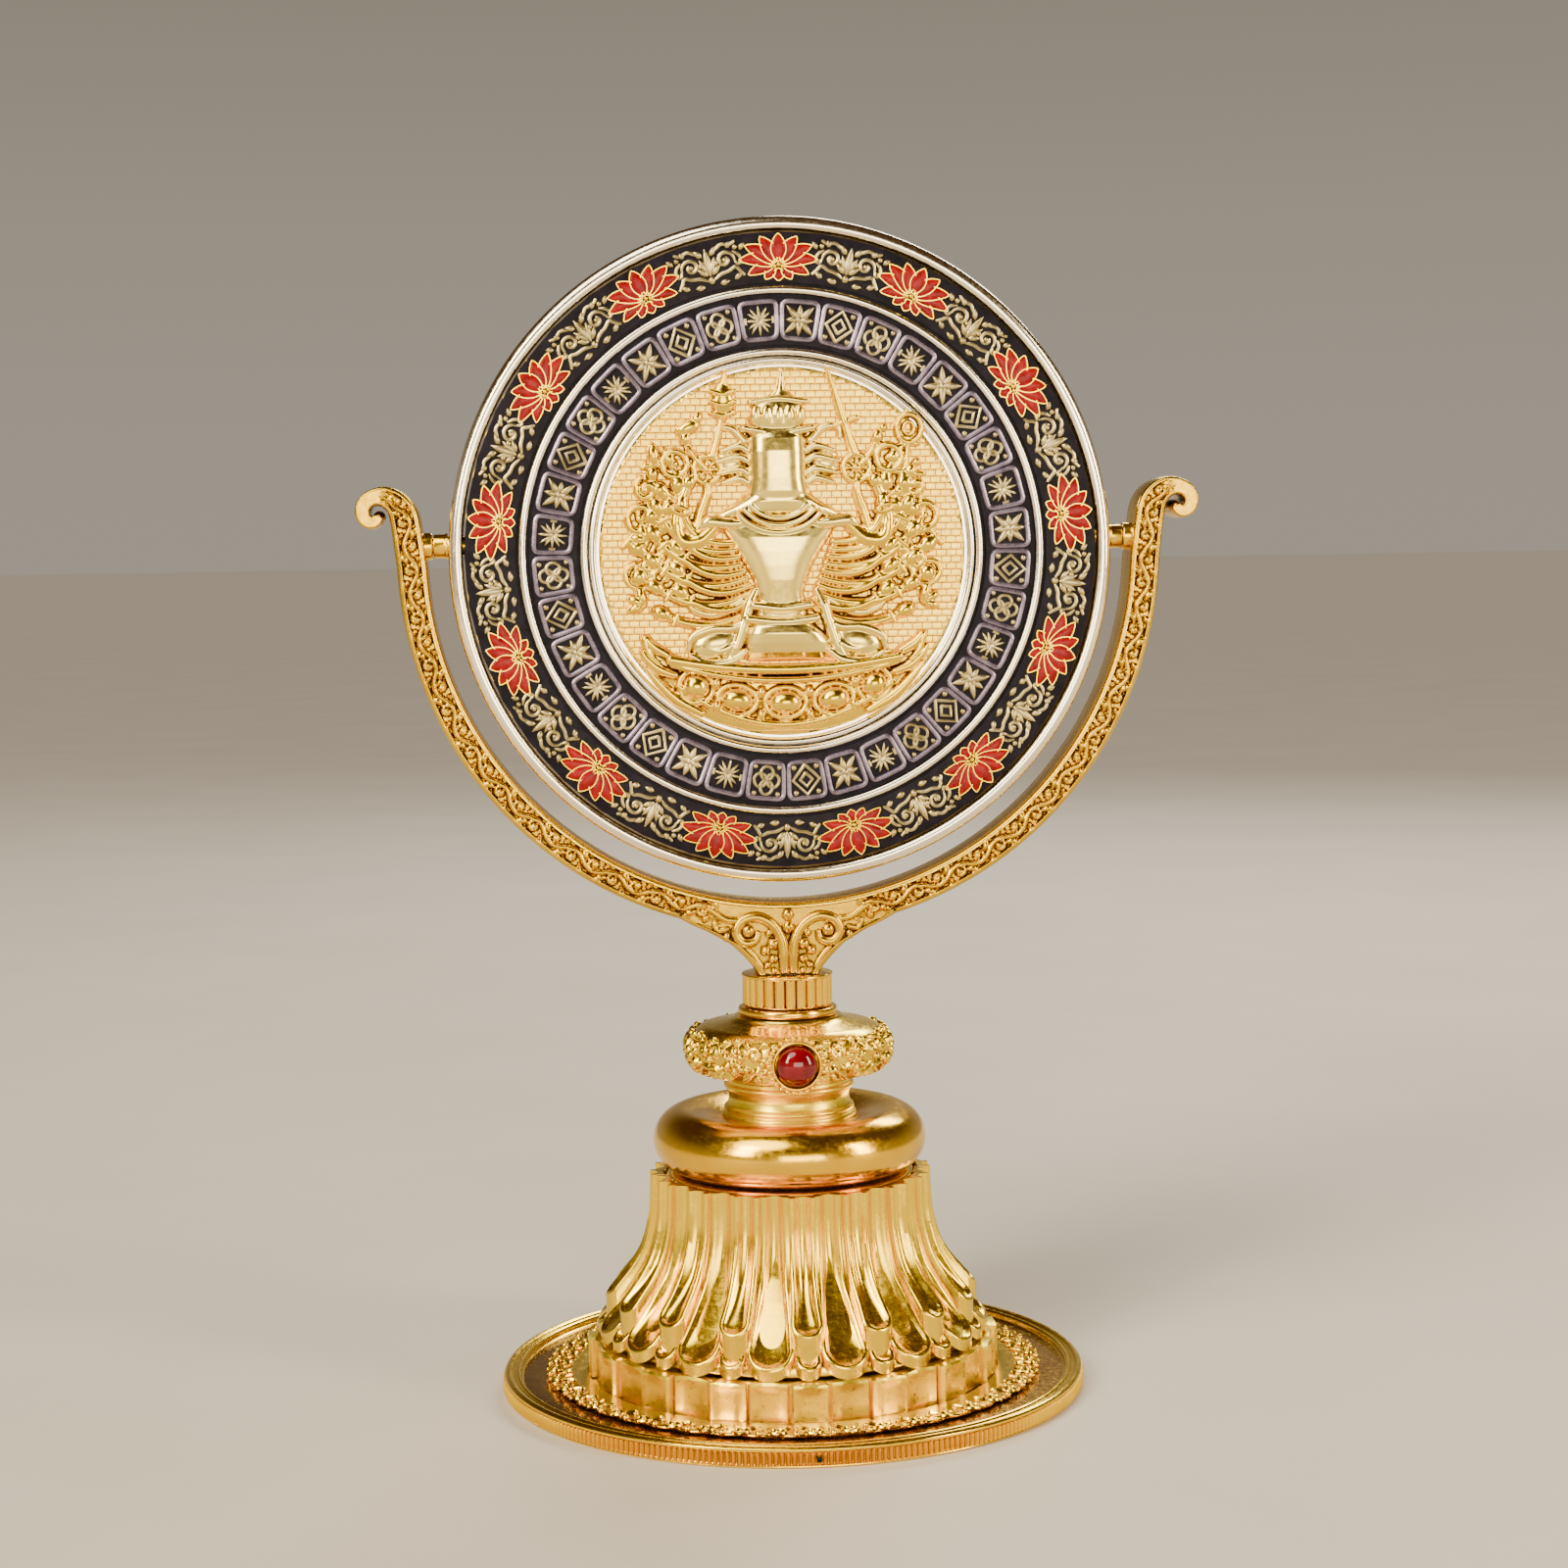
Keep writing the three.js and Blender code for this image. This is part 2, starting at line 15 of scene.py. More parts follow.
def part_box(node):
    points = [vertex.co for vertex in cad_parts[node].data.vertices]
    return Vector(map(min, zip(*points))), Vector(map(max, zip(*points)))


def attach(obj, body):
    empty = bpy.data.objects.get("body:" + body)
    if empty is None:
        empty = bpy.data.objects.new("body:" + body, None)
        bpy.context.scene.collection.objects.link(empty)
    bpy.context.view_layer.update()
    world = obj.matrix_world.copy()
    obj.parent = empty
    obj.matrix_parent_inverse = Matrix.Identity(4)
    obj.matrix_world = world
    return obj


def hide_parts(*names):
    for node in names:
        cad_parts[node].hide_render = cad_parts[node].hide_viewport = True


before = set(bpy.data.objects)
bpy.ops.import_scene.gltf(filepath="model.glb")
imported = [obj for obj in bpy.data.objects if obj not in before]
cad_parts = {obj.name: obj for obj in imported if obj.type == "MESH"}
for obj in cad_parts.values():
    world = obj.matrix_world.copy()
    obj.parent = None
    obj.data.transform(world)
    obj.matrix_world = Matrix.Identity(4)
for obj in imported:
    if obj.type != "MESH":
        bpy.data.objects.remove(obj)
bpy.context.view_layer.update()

MM = 0.001
TAU = 2 * math.pi


# ------------------------------------------------------------------ sizes read from the frame
def vertices(node):
    """A frame node's points, in millimetres."""
    return np.array([v.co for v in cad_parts[node].data.vertices], float) / MM


def span(node):
    """The lowest and the highest corner of a node's box."""
    low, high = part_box(node)
    return np.array(low) / MM, np.array(high) / MM


def middle(node):
    """The middle of a node's box."""
    return np.mean(span(node), axis=0)


DISC = middle("wheel_rim") * np.array([0, 0, 1])
STAND = np.zeros(3)


def ring(node, centre=STAND, axis=2):
    """Inner radius, outer radius, lowest and highest place of a turned node."""
    points = vertices(node) - centre
    radius = np.hypot(*np.delete(points, axis, axis=1).T)
    return radius.min(), radius.max(), points[:, axis].min(), points[:, axis].max()


def disc_ring(node):
    """Inner radius, outer radius, front and back of a turned node of the disc."""
    return ring(node, DISC, 1)


# ------------------------------------------------------------------ meshes and pieces
class Shape:
    """Collects closed forms, each a list of points in millimetres with its faces, into one mesh."""

    def __init__(self):
        self.parts = []

    def add(self, points, *faces, slot=0):
        """Adds one form, with its material's place in the piece's list."""
        self.parts.append((np.asarray(points, float).reshape(-1, 3), faces, slot))
        return self

    def join(self, other, change):
        """Adds another shape's forms, with their points changed."""
        for points, faces, slot in other.parts:
            self.add(change(points), *faces, slot=slot)
        return self


def grid_faces(rows, columns, wrap_rows=False, wrap_columns=False):
    """Four-sided faces over a grid of points, which may close on itself either way."""
    i = np.arange(rows if wrap_rows else rows - 1)[:, None]
    j = np.arange(columns if wrap_columns else columns - 1)[None, :]
    near, far = i * columns, ((i + 1) % rows) * columns
    j2 = (j + 1) % columns
    return np.stack([near + j, near + j2, far + j2, far + j], -1).reshape(-1, 4)


def end_caps(rows, columns):
    """Triangles that close both ends of a tube whose two end points follow its rings."""
    j = np.arange(columns)
    following, last_ring, centre = (j + 1) % columns, (rows - 1) * columns, np.full(columns, rows * columns)
    return np.concatenate([np.stack([following, j, centre], 1),
                           np.stack([last_ring + j, last_ring + following, centre + 1], 1)])


def kept_faces(points, keep):
    """The part of a grid whose faces pass a test, without the points nothing uses."""
    rows, columns = points.shape[:2]
    faces = grid_faces(rows, columns)
    faces = faces[keep(faces)]
    used = np.unique(faces)
    place = np.zeros(rows * columns, int)
    place[used] = np.arange(len(used))
    return points.reshape(-1, 3)[used], place[faces]


def piece(name, shape, body, materials, nodes, slot, shift=STAND, sharp=38, open_back=False):
    """Makes an object from a shape, on its body and in place of the frame's own nodes."""
    counts = [len(points) for points, _, _ in shape.parts]
    starts = np.cumsum([0] + counts[:-1])
    groups = [(faces + start, part_slot)
              for (_, group, part_slot), start in zip(shape.parts, starts) for faces in group]
    points = (np.concatenate([part[0] for part in shape.parts]) + shift) * MM
    corners = np.concatenate([faces.ravel() for faces, _ in groups])
    sizes = np.concatenate([np.full(len(faces), faces.shape[1]) for faces, _ in groups])
    slots = np.concatenate([np.full(len(faces), part_slot) for faces, part_slot in groups])
    mesh = bpy.data.meshes.new(name)
    mesh.vertices.add(len(points))
    mesh.vertices.foreach_set("co", points.astype(np.float32).ravel())
    mesh.loops.add(len(corners))
    mesh.loops.foreach_set("vertex_index", corners.astype(np.int32))
    mesh.polygons.add(len(sizes))
    mesh.polygons.foreach_set("loop_start", (np.cumsum(sizes) - sizes).astype(np.int32))
    for material in materials:
        mesh.materials.append(material)
    mesh.polygons.foreach_set("material_index", slots.astype(np.int32))
    mesh.update(calc_edges=True)
    weld(mesh, open_back)
    mesh.polygons.foreach_set("use_smooth", np.ones(len(mesh.polygons), bool))
    mesh.set_sharp_from_angle(angle=math.radians(sharp))
    made = in_scene(name, mesh)
    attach(made, body)
    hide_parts(*nodes)
    return made


def in_scene(name, data):
    """An object of the scene from its mesh, lamp or camera."""
    made = bpy.data.objects.new(name, data)
    bpy.context.scene.collection.objects.link(made)
    return made


def weld(mesh, open_back):
    """Joins points that meet, closes an open back and turns every face outwards."""
    work = bmesh.new()
    work.from_mesh(mesh)
    bmesh.ops.remove_doubles(work, verts=work.verts, dist=2e-7)
    bmesh.ops.dissolve_degenerate(work, dist=1e-8, edges=work.edges)
    if open_back:
        border = [edge for edge in work.edges if edge.is_boundary]
        bmesh.ops.triangle_fill(work, use_beauty=True, edges=border)
    bmesh.ops.recalc_face_normals(work, faces=work.faces)
    work.to_mesh(mesh)
    work.free()


def on_stand(name, shape, materials, node, slot="gold_plate", **options):
    """A piece of the stand in place of one node."""
    return piece(name, shape, "stand", materials, [node], slot, **options)


def on_disc(name, shape, materials, node, slot="gold_plate", **options):
    """A piece of the disc in place of one node, drawn about the disc's centre."""
    return piece(name, shape, "wheel", materials, [node], slot, shift=DISC, **options)


# ------------------------------------------------------------------ lines
def curve(points, steps):
    """A smooth line through points (Catmull-Rom)."""
    p = np.asarray(points, float)
    p = np.concatenate([[2 * p[0] - p[1]], p, [2 * p[-1] - p[-2]]])
    t = np.linspace(0, 1, steps, endpoint=False)[:, None]
    parts = []
    for a, b, c, d in zip(p, p[1:], p[2:], p[3:]):
        parts.append(0.5 * (2 * b + (c - a) * t + (2 * a - 5 * b + 4 * c - d) * t ** 2
                            + (3 * b - a - 3 * c + d) * t ** 3))
    return np.concatenate(parts + [p[-2:-1]])


def spiral(centre, start, radius, end_radius, turns, steps):
    """A flat scroll from the outside in; start is the first heading in degrees."""
    t = np.linspace(0, 1, steps)
    angle = np.radians(start) + t * turns * TAU
    r = radius * (end_radius / radius) ** t
    return np.stack([centre[0] + r * np.cos(angle), centre[1] + r * np.sin(angle)], 1)


def evenly(line, spacing=None, count=None):
    """The line's points moved to even steps along it, with their distances and the old ones."""
    length = np.concatenate([[0], np.cumsum(np.linalg.norm(np.diff(line, axis=0), axis=1))])
    even = np.linspace(0, length[-1], count) if count else np.arange(0, length[-1], spacing)
    return np.stack([np.interp(even, length, line[:, k]) for k in (0, 1)], 1), even, length


def headings(line):
    """The unit direction of a line at each of its points."""
    ahead = np.gradient(line, axis=0)
    return ahead / (np.linalg.norm(ahead, axis=1)[:, None] + 1e-12)


def unit(heading):
    """The direction of a heading in degrees."""
    return np.array([math.cos(math.radians(heading)), math.sin(math.radians(heading))])


def mirrored(side, *places):
    """Places given for the right half, on the side asked for: 1 is right and -1 is left."""
    moved = np.array(places, float) * [side, 1]
    return moved[0] if len(places) == 1 else moved


def flat_path(path, depth):
    """Turns (x, z) pairs into points at one depth of the disc, or at a depth for each."""
    path = np.asarray(path, float)
    return np.stack([path[:, 0], np.broadcast_to(depth, len(path)), path[:, 1]], 1)


def round_the_stand(radius, angle, height):
    """A place at an angle from the front, about the stand's axis."""
    return np.stack([radius * np.sin(angle), -radius * np.cos(angle), height + 0 * radius * angle], -1)


def rounded(outline, radius, steps):
    """Rounds each corner of a closed outline of (across, along) pairs with a short curve."""
    points, out = np.asarray(outline, float), []
    for before, corner, after in zip(np.roll(points, 1, 0), points, np.roll(points, -1, 0)):
        back, ahead = before - corner, after - corner
        b, a = np.linalg.norm(back), np.linalg.norm(ahead)
        cut = min(radius, 0.45 * b, 0.45 * a)
        start, end = corner + back / b * cut, corner + ahead / a * cut
        for t in np.linspace(0, 1, steps + 1):
            out.append((1 - t) ** 2 * start + 2 * t * (1 - t) * corner + t * t * end)
    return np.array(out)


# ------------------------------------------------------------------ closed forms
def turned(outline, segments, ripple=None, upright=True):
    """A closed outline of (radius, height) pairs turned about the stand's axis, or the disc's."""
    outline = np.asarray(outline, float)
    angle = np.arange(segments)[:, None] * TAU / segments
    radius = np.broadcast_to(outline[:, 0], (segments, len(outline)))
    height = np.broadcast_to(outline[:, 1], (segments, len(outline)))
    if ripple:
        radius, height = ripple(angle, radius, height)
    across, along = radius * np.cos(angle), radius * np.sin(angle)
    order = [across, along, height] if upright else [across, height, along]
    return np.stack(order, -1), grid_faces(segments, len(outline), True, True)


def ball(centre, radius, rows=7, columns=12, flat=1.0, axis=1):
    """A ball, or a flattened one whose poles lie along y (axis 1) or z (axis 2)."""
    v = np.linspace(0, np.pi, rows)[:, None]
    u = np.arange(columns)[None, :] * TAU / columns
    local = np.stack([np.sin(v) * np.cos(u), np.sin(v) * np.sin(u), flat * (np.cos(v) + 0 * u)], -1)
    if axis == 1:
        local = local[..., [0, 2, 1]]
    return np.asarray(centre) + local * radius, grid_faces(rows, columns, False, True)


def closed_strip(shape, front, back):
    """A slab with a front and a back grid of the same size, joined round their edges."""
    rows, columns = front.shape[:2]
    count = rows * columns
    index = np.arange(count).reshape(rows, columns)
    border = np.concatenate([index[0], index[1:, -1], index[-1, -2::-1], index[-2:0:-1, 0]])
    following = np.roll(border, -1)
    faces = grid_faces(rows, columns)
    sides = np.stack([following, border, border + count, following + count], 1)
    points = np.concatenate([front.reshape(-1, 3), back.reshape(-1, 3)])
    shape.add(points, faces, faces[:, ::-1] + count, sides)


def closed_tube(shape, rings):
    """Rings of points joined in a row, with a flat cap at each end."""
    rows, columns = rings.shape[:2]
    points = np.concatenate([rings.reshape(-1, 3), [rings[0].mean(0)], [rings[-1].mean(0)]])
    shape.add(points, grid_faces(rows, columns, False, True), end_caps(rows, columns))


def rings_round(path, side, top, radius, sides):
    """Rings of points about a path, spanned by its side and top directions."""
    phase = (np.arange(sides) * TAU / sides)[None, :, None]
    around = side[:, None] * np.cos(phase) + top[:, None] * np.sin(phase)
    return path[:, None] + radius[:, None, None] * around


def closed_loop(shape, path, radius, slot):
    """A ring-shaped bar that follows a closed path on the disc's face."""
    ahead = np.roll(path, -1, 0) - np.roll(path, 1, 0)
    ahead /= np.linalg.norm(ahead, axis=1)[:, None]
    top, sides = np.array([[0, -1.0, 0]]), 8
    rings = rings_round(path, np.cross(ahead, top), top, np.full(len(path), radius), sides)
    shape.add(rings, grid_faces(len(path), sides, True, True), slot=slot)


def add_bar(shape, path, radius, slot=0, sides=8, flat=1.0, normal=(0, -1, 0)):
    """A closed bar with a round or flattened section along a path; normal is the way its top faces."""
    path = np.asarray(path, float)
    count = len(path)
    radius = np.broadcast_to(np.asarray(radius, float), (count,))
    ahead = headings(path)
    top = np.broadcast_to(np.asarray(normal, float), (count, 3))
    side = np.cross(ahead, top)
    side /= np.linalg.norm(side, axis=1)[:, None] + 1e-12
    rings = rings_round(path, side, flat * np.cross(side, ahead), radius, sides)
    reach = ahead * radius[:, None] * 0.6
    points = np.concatenate([rings.reshape(-1, 3), [path[0] - reach[0]], [path[-1] + reach[-1]]])
    return shape.add(points, grid_faces(count, sides, False, True), end_caps(count, sides), slot=slot)


def leaf_places(base, heading, length, width, sag, fullness, v, u):
    """The x and z of a leaf's points, at v along it from its base and u across it from -1 to 1."""
    half = width / 2 * np.sin(np.pi * v ** fullness) ** 0.75
    along, across = v * length + 0 * u, u * half + sag * np.sin(np.pi * v) * length
    c, s = math.cos(math.radians(heading)), math.sin(math.radians(heading))
    return base[0] + along * c - across * s, base[1] + along * s + across * c


def add_leaf(shape, base, heading, length, width, height, depth, sag=0.0, rows=12, columns=9, fullness=0.8):
    """A pointed leaf or petal, domed towards the front, with a shallow dome at its back."""
    v, u = np.linspace(0.004, 0.996, rows)[:, None], np.linspace(-1, 1, columns)[None, :]
    x, z = leaf_places(base, heading, length, width, sag, fullness, v, u)
    rise = height * np.sqrt(np.clip(1 - u ** 2, 0, 1)) * np.sin(np.pi * v) ** 0.5
    closed_strip(shape, np.stack([x, depth - rise, z], -1), np.stack([x, depth + 0.3 * rise + 0.04, z], -1))


def spun(turn):
    """Turns points about the disc's axis by an angle in radians."""
    c, s = math.cos(turn), math.sin(turn)
    return lambda points: points @ np.array([[c, 0, -s], [0, 1, 0], [s, 0, c]])


def spin_out(turn, radius):
    """Moves points drawn about the origin out to a place on a band of the disc."""
    turned_by = spun(turn)
    return lambda points: turned_by(points + [0, 0, radius])


# ------------------------------------------------------------------ rises of cast ornament over a surface
def stroke_height(x, y, path, width, height):
    """How far a round-topped stroke along a path rises over each point of a field."""
    best = np.full(np.broadcast(x, y).shape, 1e9)
    for a, b in zip(path[:-1], path[1:]):
        d = b - a
        t = np.clip(((x - a[0]) * d[0] + (y - a[1]) * d[1]) / max(d @ d, 1e-9), 0, 1)
        best = np.minimum(best, (x - a[0] - t * d[0]) ** 2 + (y - a[1] - t * d[1]) ** 2)
    return height * np.sqrt(np.clip(1 - best / width ** 2, 0, 1))


def blob_height(x, y, centre, size, height, turn=0.0):
    """How far an oval dome rises over each point of a field."""
    c, s = math.cos(math.radians(turn)), math.sin(math.radians(turn))
    u = ((x - centre[0]) * c + (y - centre[1]) * s) / size[0]
    v = ((y - centre[1]) * c - (x - centre[0]) * s) / size[1]
    return height * np.sqrt(np.clip(1 - u * u - v * v, 0, 1))


def rosette_height(x, y, centre, radius, petals, height, turn):
    """How far a flower of round petals about a button rises over each point of a field."""
    rise = blob_height(x, y, centre, (radius * 0.3, radius * 0.3), height * 1.1)
    for k in range(petals):
        heading = 360 / petals * k + turn
        at = np.add(centre, radius * 0.62 * unit(heading))
        rise = np.maximum(rise, blob_height(x, y, at, (radius * 0.4, radius * 0.27), height, heading))
    return rise


# ------------------------------------------------------------------ finishes
class Finish:
    """A node material; add() makes a node and sets or links its inputs."""

    def __init__(self, name, **shader):
        self.material = bpy.data.materials.new(name)
        self.material.use_nodes = True
        self.tree = self.material.node_tree
        self.bsdf = self.tree.nodes["Principled BSDF"]
        for key, value in shader.items():
            self.bsdf.inputs[key.replace("_", " ")].default_value = value
        self.place = self.add("ShaderNodeTexCoord").outputs["Object"]

    def add(self, kind, inputs=(), **settings):
        node = self.tree.nodes.new(kind)
        for key, value in settings.items():
            setattr(node, key, value)
        for key, value in dict(inputs).items():
            if isinstance(value, bpy.types.NodeSocket):
                self.tree.links.new(value, node.inputs[key])
            else:
                node.inputs[key].default_value = value
        return node

    def noise(self, scale, detail=3.0, roughness=0.55, stretch=None):
        """Cloudy noise over the piece, stretched along an axis if asked."""
        place = self.place
        if stretch:
            place = self.add("ShaderNodeMapping", {"Vector": place, "Scale": stretch}).outputs[0]
        return self.add("ShaderNodeTexNoise", {
            "Vector": place, "Scale": scale, "Detail": detail, "Roughness": roughness}).outputs["Fac"]

    def spread(self, value, low, high, start=0.3, end=0.7):
        """A value's range from start to end, spread from low to high."""
        return self.add("ShaderNodeMapRange", {
            "Value": value, "From Min": start, "From Max": end, "To Min": low, "To Max": high,
        }).outputs["Result"]

    def sum(self, first, second, operation="ADD"):
        """Two values added, or joined by another operation."""
        return self.add("ShaderNodeMath", {0: first, 1: second}, operation=operation).outputs[0]

    def mix(self, share, first, second):
        """A colour between two, by a share from 0 to 1."""
        first, second = (colour if isinstance(colour, bpy.types.NodeSocket) else (*colour, 1)
                         for colour in (first, second))
        return self.add("ShaderNodeMix", {0: share, 6: first, 7: second}, data_type="RGBA").outputs[2]

    def painted_crevice_shade(self, distance):
        """1 in a tight corner and 0 in the open, from this piece's own shape: where shade is painted into the
        colour.
        """
        shade = self.add("ShaderNodeAmbientOcclusion", {"Distance": distance}, samples=6, only_local=True)
        return self.spread(shade.outputs["AO"], 1, 0, 0.15, 0.62)

    def link(self, key, value):
        self.tree.links.new(value, self.bsdf.inputs[key])

    def bump(self, height, strength, distance):
        """Small rises in the surface, the distance in metres."""
        node = self.add("ShaderNodeBump", {"Height": height, "Strength": strength, "Distance": distance})
        self.link("Normal", node.outputs[0])


def plated(name, deep, bright, shadow, rough, painted_crevice_shade, ripple):
    """Polished plating: clouded colour, soft casting ripple, fine scratches, and shade painted into the
    colour of crevices.
    """
    finish = Finish(name, Metallic=1.0)
    cloud = finish.noise(120.0, 4.0)
    fine = finish.noise(1400.0, 3.0, 0.65)
    scratch = finish.noise(700.0, 2.0, 0.5, stretch=(1.0, 1.0, 14.0))
    colour = finish.mix(finish.spread(cloud, 0.0, 1.0), deep, bright)
    # painted shade: the colour turns to the shadow colour in corners and crevices, found by ambient occlusion
    colour = finish.mix(finish.painted_crevice_shade(painted_crevice_shade), colour, shadow)
    finish.link("Base Color", colour)
    worn = finish.sum(finish.spread(fine, 0.0, 0.12), finish.spread(scratch, 0.0, 0.06))
    finish.link("Roughness", finish.sum(worn, rough))
    finish.bump(finish.sum(finish.noise(420.0, 2.0), finish.spread(fine, 0.0, 0.12)), ripple, 0.00012)
    return finish.material


def enamel(name, dark, light, rough, metallic, coat, scale=500.0, shine=0.5):
    """Smooth enamel with clouded depth and a faint orange peel."""
    finish = Finish(name, Metallic=metallic, Coat_Weight=coat, Coat_Roughness=0.08, Specular_IOR_Level=shine)
    cloud = finish.noise(scale, 5.0, 0.6)
    fine = finish.noise(2600.0, 2.0)
    finish.link("Base Color", finish.mix(finish.spread(cloud, 0.0, 1.0), dark, light))
    finish.link("Roughness", finish.spread(fine, rough, rough + 0.15))
    finish.bump(cloud, 0.3, 0.00006)
    return finish.material


def cabochon(name):
    """Deep red polished stone."""
    finish = Finish(name, Coat_Weight=0.2, Coat_Roughness=0.05, IOR=1.45)
    depth = finish.noise(450.0, 4.0)
    dark, light = (0.09, 0.0, 0.003), (0.20, 0.0, 0.006)
    finish.link("Base Color", finish.mix(finish.spread(depth, 0.0, 1.0), dark, light))
    finish.link("Roughness", finish.spread(finish.noise(3000.0), 0.03, 0.08))
    return finish.material


def brushed(name, dark, light, rough):
    """Steel with streaks along its length."""
    finish = Finish(name, Metallic=1.0)
    streak = finish.noise(900.0, 3.0, 0.6, stretch=(1.0, 1.0, 0.06))
    finish.link("Base Color", finish.mix(finish.spread(streak, 0.0, 1.0), dark, light))
    finish.link("Roughness", finish.spread(streak, rough, rough + 0.2))
    finish.bump(streak, 0.3, 0.00005)
    return finish.material


def fibre(name, dark, light, scale, rough):
    """Matted fibres, for felt and paper."""
    finish = Finish(name, Sheen_Weight=0.4)
    hair = finish.noise(scale, 8.0, 0.75)
    clump = finish.noise(scale / 9, 3.0)
    both = finish.sum(hair, clump, "MULTIPLY")
    finish.link("Base Color", finish.mix(finish.spread(both, 0.0, 1.0, 0.12, 0.4), dark, light))
    finish.link("Roughness", finish.spread(hair, rough - 0.1, rough))
    finish.bump(hair, 0.8, 0.0002)
    return finish.material


# The third colour of each plating is the shade painted into its crevices, and the number after the roughness
# is how far that painted shade reaches, in metres.
GOLD = plated("gold", (0.95, 0.61, 0.014), (0.99, 0.68, 0.026), (0.70, 0.42, 0.008), 0.11, 0.0007, 0.2)
SATIN_GOLD = plated("satin_gold", (0.96, 0.63, 0.010), (1.0, 0.69, 0.020),
                    (0.78, 0.48, 0.006), 0.13, 0.0007, 0.15)
REEDED_GOLD = plated("reeded_gold", (0.90, 0.53, 0.008), (0.98, 0.62, 0.016),
                     (0.20, 0.09, 0.002), 0.12, 0.0006, 0.2)
# painted shade: a dark gold for the channel in the base, standing for the shade there
PAINTED_SHADE_GOLD = plated("channel_painted_shade_gold", (0.36, 0.18, 0.005), (0.46, 0.25, 0.008),
                      (0.12, 0.05, 0.002), 0.14, 0.0012, 0.2)
LOW_GOLD = plated("low_gold", (0.97, 0.70, 0.012), (1.0, 0.76, 0.022),
                  (0.82, 0.55, 0.008), 0.23, 0.0007, 0.12)
AMBER_GOLD = plated("amber_gold", (0.93, 0.52, 0.008), (0.98, 0.59, 0.016),
                    (0.60, 0.30, 0.004), 0.11, 0.0007, 0.2)
# painted shade: darker than the other golds so that the yoke looks less lit
SHADED_CAST_GOLD = plated("cast_gold_painted_darker", (0.60, 0.35, 0.009), (0.78, 0.49, 0.020),
                   (0.09, 0.042, 0.002), 0.16, 0.0014, 0.3)
KNOB_GOLD = plated("knob_gold", (0.87, 0.57, 0.012), (0.96, 0.67, 0.026),
                   (0.30, 0.16, 0.003), 0.12, 0.0013, 0.2)
RELIEF_GOLD = plated("relief_gold", (0.90, 0.58, 0.018), (0.98, 0.68, 0.042),
                     (0.22, 0.105, 0.003), 0.12, 0.0022, 0.15)
FIGURE_GOLD = plated("figure_gold", (1.0, 0.74, 0.13), (1.0, 0.81, 0.22),
                     (0.30, 0.15, 0.005), 0.12, 0.0014, 0.1)
FIELD_GOLD = plated("field_gold", (0.96, 0.64, 0.060), (1.0, 0.72, 0.10),
                    (0.66, 0.40, 0.025), 0.25, 0.0005, 0.3)
MIRROR_GOLD = plated("mirror_gold", (1.0, 0.86, 0.60), (1.0, 0.93, 0.76),
                     (0.5, 0.32, 0.08), 0.08, 0.001, 0.12)
ANTIQUE = plated("antique_gold", (0.36, 0.29, 0.125), (0.68, 0.57, 0.29),
                 (0.05, 0.038, 0.018), 0.26, 0.0006, 0.6)
GUNMETAL = enamel("gunmetal", (0.0025, 0.0018, 0.0040), (0.012, 0.0085, 0.016), 0.36, 0.0, 0.0, shine=0.12)
FRAME_GREY = enamel("frame_grey", (0.14, 0.11, 0.17), (0.36, 0.30, 0.40), 0.24, 0.85, 0.2)
RED = enamel("red_enamel", (0.12, 0.0, 0.001), (0.33, 0.0, 0.001), 0.22, 0.0, 0.0, 900.0, 0.2)
RUBY = cabochon("ruby_glass")
STEEL = brushed("zinc_steel", (0.45, 0.45, 0.46), (0.7, 0.7, 0.72), 0.25)
PAPER = fibre("wound_paper", (0.62, 0.55, 0.42), (0.86, 0.80, 0.66), 900.0, 0.9)
FELT = fibre("felt", (0.012, 0.011, 0.010), (0.06, 0.055, 0.05), 2600.0, 1.0)


